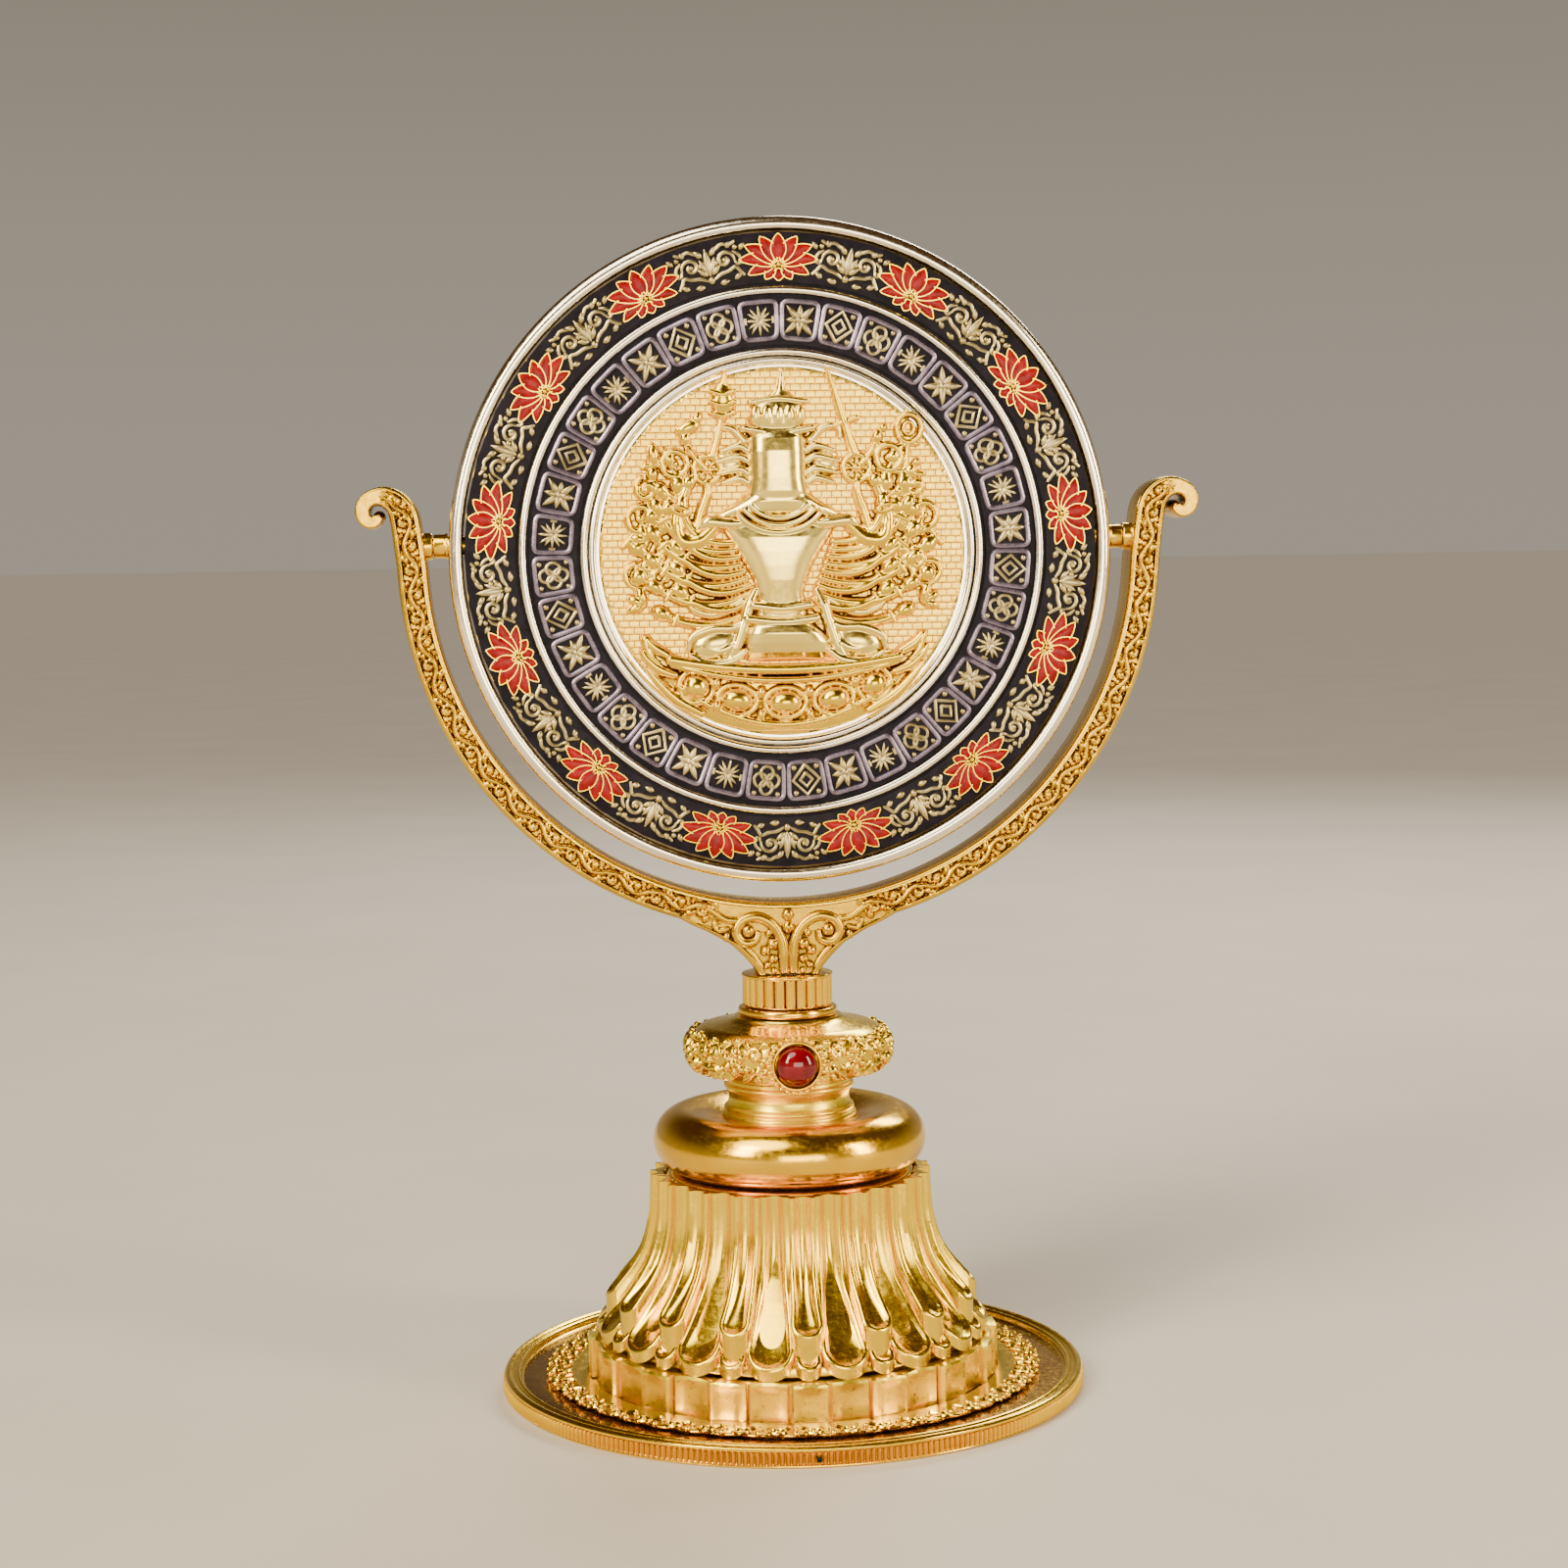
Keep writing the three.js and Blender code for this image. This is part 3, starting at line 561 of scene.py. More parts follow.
# ------------------------------------------------------------------ stand: base, border and tiers
def base_plate():
    """A round plate with a rounded rim, a knurled edge, a channel whose floor is painted dark as shade, and a
    hub for the tie rod.
    """
    _, outer, low, hub_top = ring("base_plate")
    rod, nut_well, nut_seat, hub = 2.3, 6.2, 6.0, 8.0
    channel, floor, recess = 41.9, 2.0, 0.9
    outline = rounded([
        (rod, nut_seat), (nut_well, nut_seat), (nut_well, recess), (channel - 0.5, recess),
        (channel - 0.5, low), (outer - 0.5, low), (outer - 0.25, 0.35), (outer - 0.6, 0.5),
        (outer - 0.6, 2.25), (outer - 0.2, 2.4), (outer - 0.1, 2.85), (outer - 0.7, 3.2),
        (outer - 1.35, 3.0), (outer - 1.5, 2.75), (outer - 1.7, 2.75), (outer - 1.9, 3.0),
        (outer - 2.3, 3.1), (outer - 2.65, 2.85), (channel, floor + 0.1), (channel - 0.4, floor),
        (hub, floor), (hub, hub_top), (rod, hub_top),
    ], 0.18, 3)
    shape = Shape().add(*turned(outline, 240))
    ridges, samples, ridge_height = 320, 4, 0.36

    def knurl(angle, radius, height):
        lift = np.clip(np.cos(angle * ridges) * 1.6, -1, 1) * ridge_height
        return radius + np.where(radius > outer - 0.75, lift, 0), height

    band = [(outer - 1.2, 0.4), (outer - 0.3, 0.45), (outer - 0.27, 2.3), (outer - 1.2, 2.4)]
    shape.add(*turned(rounded(band, 0.12, 2), ridges * samples, knurl), slot=2)
    dot_radius, dot_height = 0.42, 1.35
    shape.add(*ball((0, -(outer + 0.02), dot_height), dot_radius, flat=0.45), slot=1)
    # painted shade: a thin sheet of dark gold on the channel's floor stands for the shade in the channel
    bed_in, bed_out = channel - 6.0, channel - 0.15
    bed = [(bed_in, floor - 0.3), (bed_out, floor - 0.3), (bed_out, floor + 0.04), (bed_in, floor + 0.04)]
    shape.add(*turned(rounded(bed, 0.02, 2), 180), slot=3)
    return on_stand("base_plate_turned", shape, [GOLD, GUNMETAL, REEDED_GOLD, PAINTED_SHADE_GOLD], "base_plate")


def lace_ring():
    """A filigree border: little flowers in a row between two lines of beads, with a scalloped edge."""
    inner, outer, low, _ = ring("lace_ring")
    repeats, scallop_depth, upward = 44, 0.45, (0, 0, 1)
    pitch = TAU / repeats
    plate = rounded([(inner - 0.3, low), (outer - 1.2, low), (outer - 0.9, low + 0.35),
                     (outer - 1.2, low + 0.6), (inner - 0.3, low + 0.5)], 0.12, 2)

    def scallop(angle, radius, height):
        wave = scallop_depth * np.abs(np.sin(angle * repeats / 2))
        return radius + np.where(radius > outer - 1.5, wave, 0), height

    shape = Shape().add(*turned(plate, repeats * 10, scallop))
    loop = np.radians(np.linspace(0, 360, 17))
    loop_radius, loop_middle = 0.95, outer - 1.35
    # share of the pitch, inset and size
    beads = ((0.0, 1.35, 0.5), (0.5, 0.45, 0.52), (0.0, 0.15, 0.3), (0.5, 2.6, 0.42))
    for i in range(repeats):
        at = i * pitch
        turn = at + 1.25 * np.sin(loop) / (outer - 1.3)
        path = round_the_stand(loop_middle + loop_radius * np.cos(loop), turn, low + 0.75)
        add_bar(shape, path, 0.26, sides=6, normal=upward)
        for share, inset, size in beads:
            place = round_the_stand(outer - inset, at + share * pitch, low + 0.72)
            shape.add(*ball(place, size, 6, 9, axis=2))
        for side in (-1, 1):
            start, end = round_the_stand(np.array([outer - 3.9, outer - 2.2]),
                                         at + side * np.array([0.33, 0.12]) * pitch, low + 0.7)
            swelling = [0.1] + [0.34] * 3 + [0.3] * 2 + [0.12]
            add_bar(shape, curve([start, (start + end) / 2, end], 3), swelling, sides=6, normal=upward)
    return on_stand("lace_border", shape, [KNOB_GOLD], "lace_ring")


def petal_drum():
    """Upright panels that stand in and out by turns, each with a rounded top and a hollow face."""
    inner, outer, low, high = ring("petal_drum")
    panels, set_back, wall_depth = 32, 0.95, 2.2
    wall = rounded([(inner, low), (outer - 1.5, low), (outer - 1.5, high - 0.2), (inner, high - 0.2)], 0.2, 2)
    shape = Shape().add(*turned(wall, 128))
    rows, columns = 17, 15
    u = np.linspace(-1, 1, columns)[None, :]
    v = np.linspace(0, 1, rows)[:, None]
    height = low + (high - low) * v * (0.93 + 0.07 * np.sqrt(1 - (0.96 * u) ** 2))
    for i in range(panels):
        face, share = (outer, 0.46) if i % 2 == 0 else (outer - set_back, 0.52)
        half = TAU / panels * share
        edge = np.minimum((1 - np.abs(u)) * half * outer, (high - height) + 0.02)
        soft = 0.4 * (1 - np.sqrt(np.clip(1 - (1 - np.clip(edge / 0.45, 0, 1)) ** 2, 0, 1)))
        hollow = 0.3 * (1 - u ** 2) * np.clip((edge - 0.4) / 1.2, 0, 1)
        radius, angle = face - soft - hollow, TAU * i / panels + half * u
        closed_strip(shape, round_the_stand(radius, angle, height),
                     round_the_stand(np.full_like(radius, outer - wall_depth), angle, height))
    return on_stand("petal_drum_panels", shape, [LOW_GOLD], "petal_drum")


def bell_line(points):
    """A smooth line of (radius, height) from the cushion down, evenly spaced, with its outward normals."""
    line = evenly(curve(points, 10), count=45)[0]
    ahead = headings(line)
    return line, np.stack([-ahead[:, 1], ahead[:, 0]], 1)


def petal_tier(shape, line, widths, phase, lift, drop, hollow, rim, rim_from=0.0, rows=32):
    """Sixteen hollow petals with raised round rims that join in a U at the tip, over a straight wall.

    The widths are half-angles in degrees, evenly spread down the line; lift is how far the tier stands
    off it, drop how deep the tips are, and rim_from the share of the line where the rims begin."""
    count = 16
    rim_width = 0.95
    points, outward = bell_line(line)
    length = np.linalg.norm(np.diff(points, axis=0), axis=1).sum()
    share = np.linspace(0, 1, len(widths))
    tip_start = 1 - math.radians(widths[-1]) * points[-1, 0] / length
    v = np.concatenate([np.linspace(0, tip_start, rows), np.linspace(tip_start, 1, 12)[1:]])[:, None]
    near = np.array([1, 0.97, 0.92, 0.86, 0.79, 0.71, 0.62, 0.5, 0.35, 0.18])
    u = np.concatenate([-near, [0], near[::-1]])[None, :]
    squared = 0.985 * u

    def into_tip(place):
        return np.clip((place - tip_start) / (1 - tip_start), 0, 1)

    along = np.minimum(v, tip_start) + (1 - tip_start) * into_tip(v) * np.sqrt(1 - squared ** 2)
    angle = np.radians(np.interp(along, share, widths))
    index = along * (len(points) - 1)
    radius, height, nr, nz = (np.interp(index, np.arange(len(points)), column)
                              for column in (points[:, 0], points[:, 1], outward[:, 0], outward[:, 1]))
    half = radius * angle
    edge = (1 - np.minimum(np.hypot(squared, into_tip(along)), 1)) * half
    bead = rim * np.sqrt(np.clip(1 - ((edge - rim_width / 2) / (rim_width / 2)) ** 2, 0, 1))
    bead = bead * np.clip((along - rim_from + 0.12) / 0.12, 0, 1)
    dish = np.clip((edge - rim_width * 0.8) / np.maximum(half - rim_width * 0.8, 0.1), 0, 1)
    shallow = 1 - 0.75 * np.clip((along - 0.6) / 0.4, 0, 1)
    level = lift + bead - hollow * shallow * (1 - (1 - dish) ** 2)
    under = np.clip((along - 0.5) / 0.35, 0, 1)
    back_radius = radius + nr * lift - 1.6 * (1 - under) - 0.02
    back_height = height + nz * lift - drop * under
    for i in range(count):
        places = TAU * (i + phase) / count + angle * u
        closed_strip(shape, round_the_stand(radius + nr * level, places, height + nz * level),
                     round_the_stand(back_radius, places, back_height))


def lotus_bell():
    """Thirty-two flutes under the cushion flare out into two tiers of petal tips."""
    inner, lip, low, top = ring("lotus_bell")
    waist, upper_lip, wall = 20.75, lip - 1.9, 18.6
    core = rounded([
        (inner, top), (waist - 1.7, top), (waist - 1.4, top - 6), (21.0, 21.6), (23.2, 17.6), (25.8, 14.0),
        (27.0, 12.2), (28.6, 9.9), (28.8, low), (28.0, low), (25.6, 11.6), (21.4, 17.4), (wall, 27.3),
        (wall, top - 2.2), (inner, top - 2.2),
    ], 0.8, 4)
    shape = Shape().add(*turned(core, 160))
    upper = [(waist + 0.1, top - 0.1), (waist + 0.2, top - 3.2), (21.2, top - 6.6), (22.3, 22.2),
             (24.1, 18.9), (26.3, 16.2), (upper_lip, 13.7)]
    lower = [(waist, top - 0.1), (waist, top - 4), (21.2, 25.0), (22.3, 20.9), (24.0, 17.2), (26.4, 13.8),
             (28.6, 11.4), (lip - 0.1, 9.5)]
    between = [(24.6, 14.4), (26.4, 12.8), (28.4, 11.2), (lip - 0.2, 9.6)]
    petal_tier(shape, upper, [5.4, 5.3, 5.1, 4.9, 5.2], 0.0, 0.4, drop=4.6, hollow=0.9, rim=0.36)
    petal_tier(shape, lower, [5.9, 5.9, 6.2, 7.0, 7.4], 0.5, 0.0, drop=1.3, hollow=1.1, rim=0.36,
               rim_from=0.62)
    petal_tier(shape, between, [3.6, 3.7, 3.8, 3.8], 0.0, 0.0, drop=1.3, hollow=0.7, rim=0.3, rows=12)
    return on_stand("lotus_bell_petals", shape, [SATIN_GOLD], "lotus_bell", sharp=50)


# ------------------------------------------------------------------ stand: turned pieces and jewel
def cushion_ring():
    """A plain, fat ring with a round side and a dished top that carries the neck."""
    bore, outer, low, high = ring("cushion_ring")
    tube, middle_height, seat = (high - low) / 2, (high + low) / 2, 10.1
    seat_height = 41.4
    swell = [(outer - tube + tube * math.cos(a), middle_height + tube * math.sin(a))
             for a in np.radians(np.linspace(-78, 96, 30))]
    outline = [(bore, low), (outer - tube - 0.4, low), *swell, (outer - tube - 3.2, high - 0.35),
               (seat + 0.3, seat_height + 0.15), (seat, seat_height), (bore, seat_height)]
    shape = Shape().add(*turned(outline, 192))
    return on_stand("cushion_ring_turned", shape, [AMBER_GOLD], "cushion_ring", sharp=50)


def turned_neck():
    """A short shaft between two beads."""
    bore, outer, low, high = ring("turned_neck")
    shaft = outer - 0.5
    outline = rounded([
        (bore, low), (outer + 0.3, low), (outer + 0.3, low + 0.75), (outer - 0.2, low + 1.0),
        (outer, low + 1.3), (outer, low + 1.7), (shaft, low + 2.0), (shaft - 0.3, low + 3.2),
        (shaft, high - 1.6), (outer, high - 1.3), (outer, high - 0.8), (shaft, high - 0.6),
        (shaft, high), (bore, high),
    ], 0.35, 4)
    return on_stand("neck_turned", Shape().add(*turned(outline, 128)), [LOW_GOLD], "turned_neck")


def knob_flowers(x, y):
    """One repeat of the knob's band, about its middle: a flower between two scrolls, tails and leaves."""
    leaves = ((2.1, 2.5, 0.95, 0.5, -35), (4.8, 2.6, 0.8, 0.45, 20), (3.4, -2.9, 0.85, 0.45, 30),
              (4.75, -3.1, 0.6, 0.45, 0), (2.2, -1.2, 0.5, 0.4, 40), (0.0, 3.0, 0.6, 0.6, 0),
              (4.9, -0.3, 0.55, 0.55, 0))  # place, half-length, half-width, turn
    rises = [rosette_height(x, y, (0, -0.2), 2.3, 6, 0.95, 30)]
    for side in (-1, 1):
        eye = mirrored(side, (3.6, 0.9))
        tail = curve(mirrored(side, (1.3, -3.1), (2.6, -2.2), (3.9, -1.3), (5.0, -1.6)), 4)
        rises += [stroke_height(x, y, spiral(eye, 90 + side * 90, 1.25, 0.35, -side * 1.1, 14), 0.42, 0.75),
                  blob_height(x, y, eye, (0.45, 0.45), 0.8), stroke_height(x, y, tail, 0.42, 0.7)]
        rises += [blob_height(x, y, mirrored(side, (u, v)), (wide, tall), 0.72, side * turn)
                  for u, v, wide, tall, turn in leaves]
    return np.maximum.reduce(rises)


def jewel_knob():
    """A squat knob with a cast band of flowers and scrolls around it, left plain round the stone."""
    bore, outer, low, high = ring("jewel_knob")
    swell, belly = 3.7, (high + low) / 2 - 0.2
    turns = np.radians(np.linspace(-66, 80, 46))
    bulge = np.stack([outer - 0.35 - swell + swell * np.cos(turns), belly + swell * np.sin(turns)], 1)
    foot = [(bore, low), (10.2, low), (11.2, low + 0.25), (12.4, low + 0.7)]
    shoulder = [(9.6, high - 0.75), (8.4, high - 0.35), (8.2, high), (bore, high)]
    on_band = np.concatenate([np.zeros(len(foot)), np.ones(len(turns)), np.zeros(len(shoulder))])
    along = np.concatenate([np.zeros(len(foot)), turns * swell, np.zeros(len(shoulder))])
    segments, motifs, band_top, seat = 800, 10, 3.7, 4.4
    pitch = TAU * outer / motifs
    stone_height = middle("ruby_cabochon")[2]

    def flowers(angle, radius, height):
        x = np.broadcast_to((angle * outer) % pitch - pitch / 2, radius.shape)
        y = np.broadcast_to(along[None, :], radius.shape)
        aim = np.arctan2(height - belly, np.maximum(radius - (outer - swell), 1e-3))
        from_front = (angle + math.pi / 2 + math.pi) % TAU - math.pi
        from_stone = np.hypot(from_front * outer, height - stone_height)
        rise = knob_flowers(x, y) * on_band * (y < band_top) * np.clip(from_stone - seat, 0, 1)
        return radius + rise * np.cos(aim), height + rise * np.sin(aim)

    shape = Shape().add(*turned([*foot, *bulge, *shoulder], segments, flowers))
    return on_stand("jewel_knob_flowers", shape, [KNOB_GOLD], "jewel_knob", sharp=60)


def ruby_setting():
    """A domed red stone in a gold ring with a row of beads round it."""
    low, high = span("ruby_bezel")
    outer, front, back = (high[0] - low[0]) / 2, low[1], high[1]
    inner = outer - 0.75
    outline = rounded([(inner, back), (outer + 0.1, back), (outer + 0.1, front + 0.5),
                       (outer - 0.3, front - 0.15), (inner + 0.1, front)], 0.25, 3)
    shape = Shape().add(*turned(outline, 72, upright=False))
    beads, bead_circle = 26, outer + 0.25
    for i in range(beads):
        across, up = bead_circle * unit(360 * i / beads)
        shape.add(*ball((across, front + 0.6, up), 0.42, 6, 8))
    at = np.array([0, 0, middle("ruby_bezel")[2]])
    on_stand("ruby_bezel_beaded", shape, [GOLD], "ruby_bezel", "pale_gold", shift=at)
    low, high = span("ruby_cabochon")
    radius, girdle = (high[0] - low[0]) / 2, front + 0.1
    arc = np.radians(np.linspace(0, 88, 18))
    dome = np.stack([radius * np.cos(arc), girdle - (girdle - low[1]) * np.sin(arc)], 1)
    outline = [(0.0, high[1]), (radius, high[1]), *dome, (0.0, low[1])]
    shape = Shape().add(*turned(outline, 72, upright=False))
    at = np.array([0, 0, middle("ruby_cabochon")[2]])
    on_stand("ruby_dome", shape, [RUBY], "ruby_cabochon", "ruby_glass", shift=at, sharp=60)


def collar():
    """A beaded flange under a short collar of reeds."""
    bore, outer, low, high = ring("collar_flange")
    outline = rounded([(bore, low), (outer + 0.1, low), (outer + 0.25, (low + high) / 2), (outer + 0.1, high),
                       (bore, high)], 0.45, 5)
    on_stand("collar_flange_bead", Shape().add(*turned(outline, 128)), [AMBER_GOLD], "collar_flange")
    bore, outer, low, high = ring("fluted_collar")
    flutes, samples, flute_depth = 24, 12, 0.75
    outline = rounded([(bore, low), (outer - 0.15, low), (outer, low + 0.35), (outer, high - 0.5),
                       (outer + 0.1, high - 0.3), (outer + 0.1, high), (bore, high)], 0.15, 3)

    def flute(angle, radius, height):
        wave = 1 - np.sqrt(np.abs(np.cos(angle * flutes / 2)))
        inside = (height > low + 0.3) & (height < high - 0.45) & (radius > outer - 0.4)
        return radius - np.where(inside, flute_depth * wave, 0), height

    shape = Shape().add(*turned(outline, flutes * samples, flute))
    on_stand("collar_fluted", shape, [REEDED_GOLD], "fluted_collar")


# ------------------------------------------------------------------ yoke and pivots
BAND = 4.5                      # the yoke's width, seen from the front
FLARE = 14.8                    # half-width of the stem where it meets the yoke
RECESS = 0.55                   # depth of the vine's panel


def yoke_line():
    """The right half of the yoke's centre line, with its half-widths and distances from the bottom."""
    radius = ring("crescent_yoke", DISC, 1)[0] + BAND / 2
    swing = np.radians(np.linspace(0, 88, 60))
    arm = np.stack([radius * np.sin(swing), -radius * np.cos(swing)], 1)
    eye, reach, shrink = (radius - BAND / 2 + 7.7, 6.3), 4.4, 0.63   # shrink is for each quarter turn
    heading = np.radians(np.linspace(190, -190, 40))
    quarter = (math.pi - heading) / (math.pi / 2)
    coil = np.stack([eye[0] + reach * shrink ** quarter * np.cos(heading),
                     eye[1] + reach * shrink ** quarter * np.sin(heading)], 1)
    half = np.concatenate([np.full(len(arm), BAND / 2),
                           np.interp(quarter, [-0.1, 0, 1, 2, 3, 4.2], [2.2, 2.15, 1.2, 1.05, 0.95, 0.6])])
    line, even, length = evenly(np.concatenate([arm, coil]), spacing=0.24)
    near = 4                                        # points averaged on either side
    padded = np.concatenate([line[near:0:-1] * [-1, 1], line, np.repeat(line[-1:], near, 0)])
    window = np.ones(2 * near + 1) / (2 * near + 1)
    line = np.stack([np.convolve(padded[:, k], window, "valid") for k in (0, 1)], 1)
    return line, np.interp(even, length, half), even


def vine_height(along, across):
    """A running vine: a waving stem with a curled tendril and two leaves in each bend."""
    period = 7.2
    x = along % period
    wave = np.linspace(-1, period + 1, 50)
    rises = [stroke_height(x, across, np.stack([wave, 0.72 * np.sin(wave * TAU / period)], 1), 0.42, 0.8)]
    for repeat in (-1, 0, 1):
        for side in (-1, 1):
            base = (repeat + (0.25 if side < 0 else 0.75)) * period
            bend = (base, side * 0.35)
            curl = spiral(bend, -side * 100, 1.1, 0.35, side * 0.95, 14)
            rises += [stroke_height(x, across, curl, 0.38, 0.85),
                      blob_height(x, across, bend, (0.5, 0.5), 0.95),
                      blob_height(x, across, (base + 1.8, side * 0.9), (0.95, 0.48), 0.8, side * 30),
                      blob_height(x, across, (base - 1.8, side * 1.0), (0.6, 0.36), 0.7, -side * 30)]
    return np.maximum.reduce(rises)


def bar_section(line, half, depth, margin, recess, rise, bare_outer):
    """Sweeps the yoke's section along a line: soft edges, raised margins and a sunken panel on both faces.

    The rise is the ornament's, over the panel's floor; bare_outer is 1 where the outer margin is left out."""
    outward = headings(line)[:, ::-1] * [1, -1]
    edge = np.array([0.0, 0.0, 0.12, 0.35, 0.6, 1.0])
    drop = np.array([1.6, 0.75, 0.38, 0.1, 0.0, 0.0])
    half = half[:, None]
    shrink = np.clip(half / (BAND / 2), 0.3, 1)
    left = -half + edge[None, :] * shrink * margin
    panel_half = np.maximum(half - (edge[-1] * margin + 0.22) * shrink, 0.05)
    panel = -panel_half + 2 * panel_half * np.linspace(0, 1, 15)[None, :]
    across = np.concatenate([left, panel, -left[:, ::-1]], 1)
    deep = np.broadcast_to(recess, (len(line),))[:, None]
    side_drop = drop[None, :] * shrink
    outer_drop = side_drop[:, ::-1] * (1 - bare_outer[:, None]) + deep * bare_outer[:, None]
    carved = deep - rise(panel, panel / np.maximum(panel_half, 0.3) * 1.3) * deep / RECESS
    face = np.concatenate([side_drop, carved, outer_drop], 1)
    front = face - depth
    t = np.linspace(1, -1, 6)[1:-1][None, :]        # the four points down each side
    belly = half + 0.12 * (1 - t ** 2)
    lateral = np.concatenate([across, belly, across[:, ::-1], -belly], 1)
    y = np.concatenate([front, front[:, -1:] * t, -front[:, ::-1], (depth - 1.6 * shrink) * t], 1)
    return np.stack([line[:, :1] + outward[:, :1] * lateral, y, line[:, 1:] + outward[:, 1:] * lateral], -1)


def crescent_yoke():
    """The cast yoke: two arms with a running vine that end in scrolls, on a forked stem."""
    low, high = span("crescent_yoke")
    depth = (high[1] - low[1]) / 2
    stem_low = low[2] - DISC[2]
    line, half, along = yoke_line()
    whole = np.concatenate([line[:0:-1] * [-1, 1], line])
    widths = np.concatenate([half[:0:-1], half])
    run = np.concatenate([along[:0:-1], along])[:, None]
    bare = np.clip((FLARE + 0.6 - np.abs(whole[:, 0])) / 0.8, 0, 1) * (whole[:, 1] < 0)
    recess = RECESS * np.clip((widths - 1.35) / 0.6, 0.0, 1)

    def vine(panel, y):
        return vine_height(run - FLARE + 0 * panel, y) * np.clip((run - FLARE + 4) / 1.5, 0, 1)

    def plain(panel, y):
        return 0 * panel * y

    shape = Shape()
    closed_tube(shape, bar_section(whole, widths, depth, 0.75, recess, vine, bare))
    eye, eye_radius = line[-1], 0.95
    for side in (-1, 1):
        shape.add(*ball((side * eye[0], 0, eye[1]), eye_radius, 14, 24, flat=depth * 0.98 / eye_radius))
    stem_height, stem_recess = 9.6, 0.95
    rows = np.linspace(stem_low, stem_low + stem_height, 40)
    heights = (0, 1.0, 2.6, 4.6, 6.6, 7.9, 8.8, stem_height)
    halves = (4.75, 5.25, 6.6, 8.6, 12.0, FLARE, 16.4, 17.4)
    stem = np.stack([0 * rows, rows], 1)
    stem_half = np.interp(rows - stem_low, heights, halves)
    closed_tube(shape, bar_section(stem, stem_half, depth, 1.15, stem_recess, plain, 0 * rows))
    for face in (-1, 1):
        fork_ornament(shape, stem_low, face * (depth - 0.6), face)
    return on_stand("yoke_cast", shape, [SHADED_CAST_GOLD], "crescent_yoke", shift=DISC, sharp=45)


def fork_ornament(shape, bottom, depth, face):
    """Two reeds that rise from the stem and curl out into a volute on each side, over leaves."""
    top = (0, face, 0)

    def bar(points, radius, steps=7):
        path = flat_path(curve(points + [0, bottom], steps), depth)
        taper = np.interp(np.linspace(0, 1, len(path)), [0, 0.1, 0.8, 1], [0.8, 1, 0.95, 0.5])
        add_bar(shape, path, radius * taper, sides=10, normal=top)

    def bud(x, z, heading, size):
        path = np.linspace(-0.5, 0.5, 7)[:, None] * unit(heading) * size + [x, z + bottom]
        swelling = np.sin(np.linspace(0.25, math.pi - 0.3, 7))
        add_bar(shape, flat_path(path, depth), 0.72 * swelling * size ** 0.5, sides=10, flat=0.9, normal=top)

    buds = ((2.35, 4.6, 62, 1.9), (3.5, 3.6, 45, 1.6), (2.3, 2.3, 70, 1.4), (3.2, 1.4, 50, 1.1),
            (2.9, 6.3, 40, 1.2), (9.4, 5.9, 20, 1.3), (12.6, 8.8, 25, 1.3))  # place, heading, size
    for side in (-1, 1):
        bar(mirrored(side, (0.72, 0.2), (0.72, 3.2), (1.1, 5.4), (2.4, 7.6), (4.7, 8.8),
                     (7.1, 8.2), (7.9, 6.4), (6.8, 4.9), (5.0, 5.2), (4.6, 6.6)), 0.92)
        shape.add(*ball((side * 6.1, depth, bottom + 6.7), 1.05, 8, 14, flat=0.9))
        bar(mirrored(side, (7.4, 8.3), (9.6, 8.6), (12.0, 10.2), (14.6, 10.8)), 0.62)
        bar(mirrored(side, (9.0, 7.2), (10.7, 6.9), (11.2, 8.0), (10.2, 8.2)), 0.5, 5)
        bar(mirrored(side, (4.1, 0.9), (5.2, 2.8), (7.0, 4.6)), 0.5)
        for x, z, heading, size in buds:
            bud(side * x, z, 90 - side * (90 - heading), size)
    shape.add(*ball((0, depth, bottom + 9.1), 1.0, 9, 16, flat=0.8))
    bud(0, 7.2, 90, 2.2)
    for x in (-2.2, 0, 2.2):
        shape.add(*ball((x, depth, bottom + 0.5), 0.55, 7, 12, flat=0.9))


def sideways_turned(name, outline, side, body, node):
    """A closed outline of (radius, distance out) pairs turned about the pins' axis."""
    points, faces = turned(outline, 48)
    x, y, z = np.moveaxis(points, -1, 0)
    shape = Shape().add(np.stack([side * z, x, y], -1), faces)
    return piece(name, shape, body, [GOLD], [node], "gold_plate", shift=middle(node) * [0, 1, 1])


def pivots():
    """A plain pin on each side of the disc, running in a small bush in each arm."""
    rim = ring("wheel_rim", DISC, 1)[1]
    shank, journal, shoulder, bore, bush = 1.8, 1.3, 1.95, 1.42, 2.05
    for side, name in ((-1, "left"), (1, "right")):
        root, tip = sorted(abs(corner[0]) for corner in span(f"pivot_pin_{name}"))
        outline = rounded([(0.0, root), (1.5, root), (1.5, rim + 0.1), (shoulder, rim + 0.1),
                           (shoulder, rim + 0.4), (shank, rim + 0.6), (shank, rim + 2.2),
                           (journal, rim + 2.25), (journal, tip), (0.0, tip)], 0.1, 2)
        sideways_turned(f"pin_{name}_turned", outline, side, "wheel", f"pivot_pin_{name}")
        root, tip = sorted(abs(corner[0]) for corner in span(f"pivot_bush_{name}"))
        outline = rounded([(bore, root), (bush - 0.1, root), (bush, root + 0.15), (bush, tip),
                           (bore, tip)], 0.06, 2)
        sideways_turned(f"bush_{name}_turned", outline, side, "stand", f"pivot_bush_{name}")


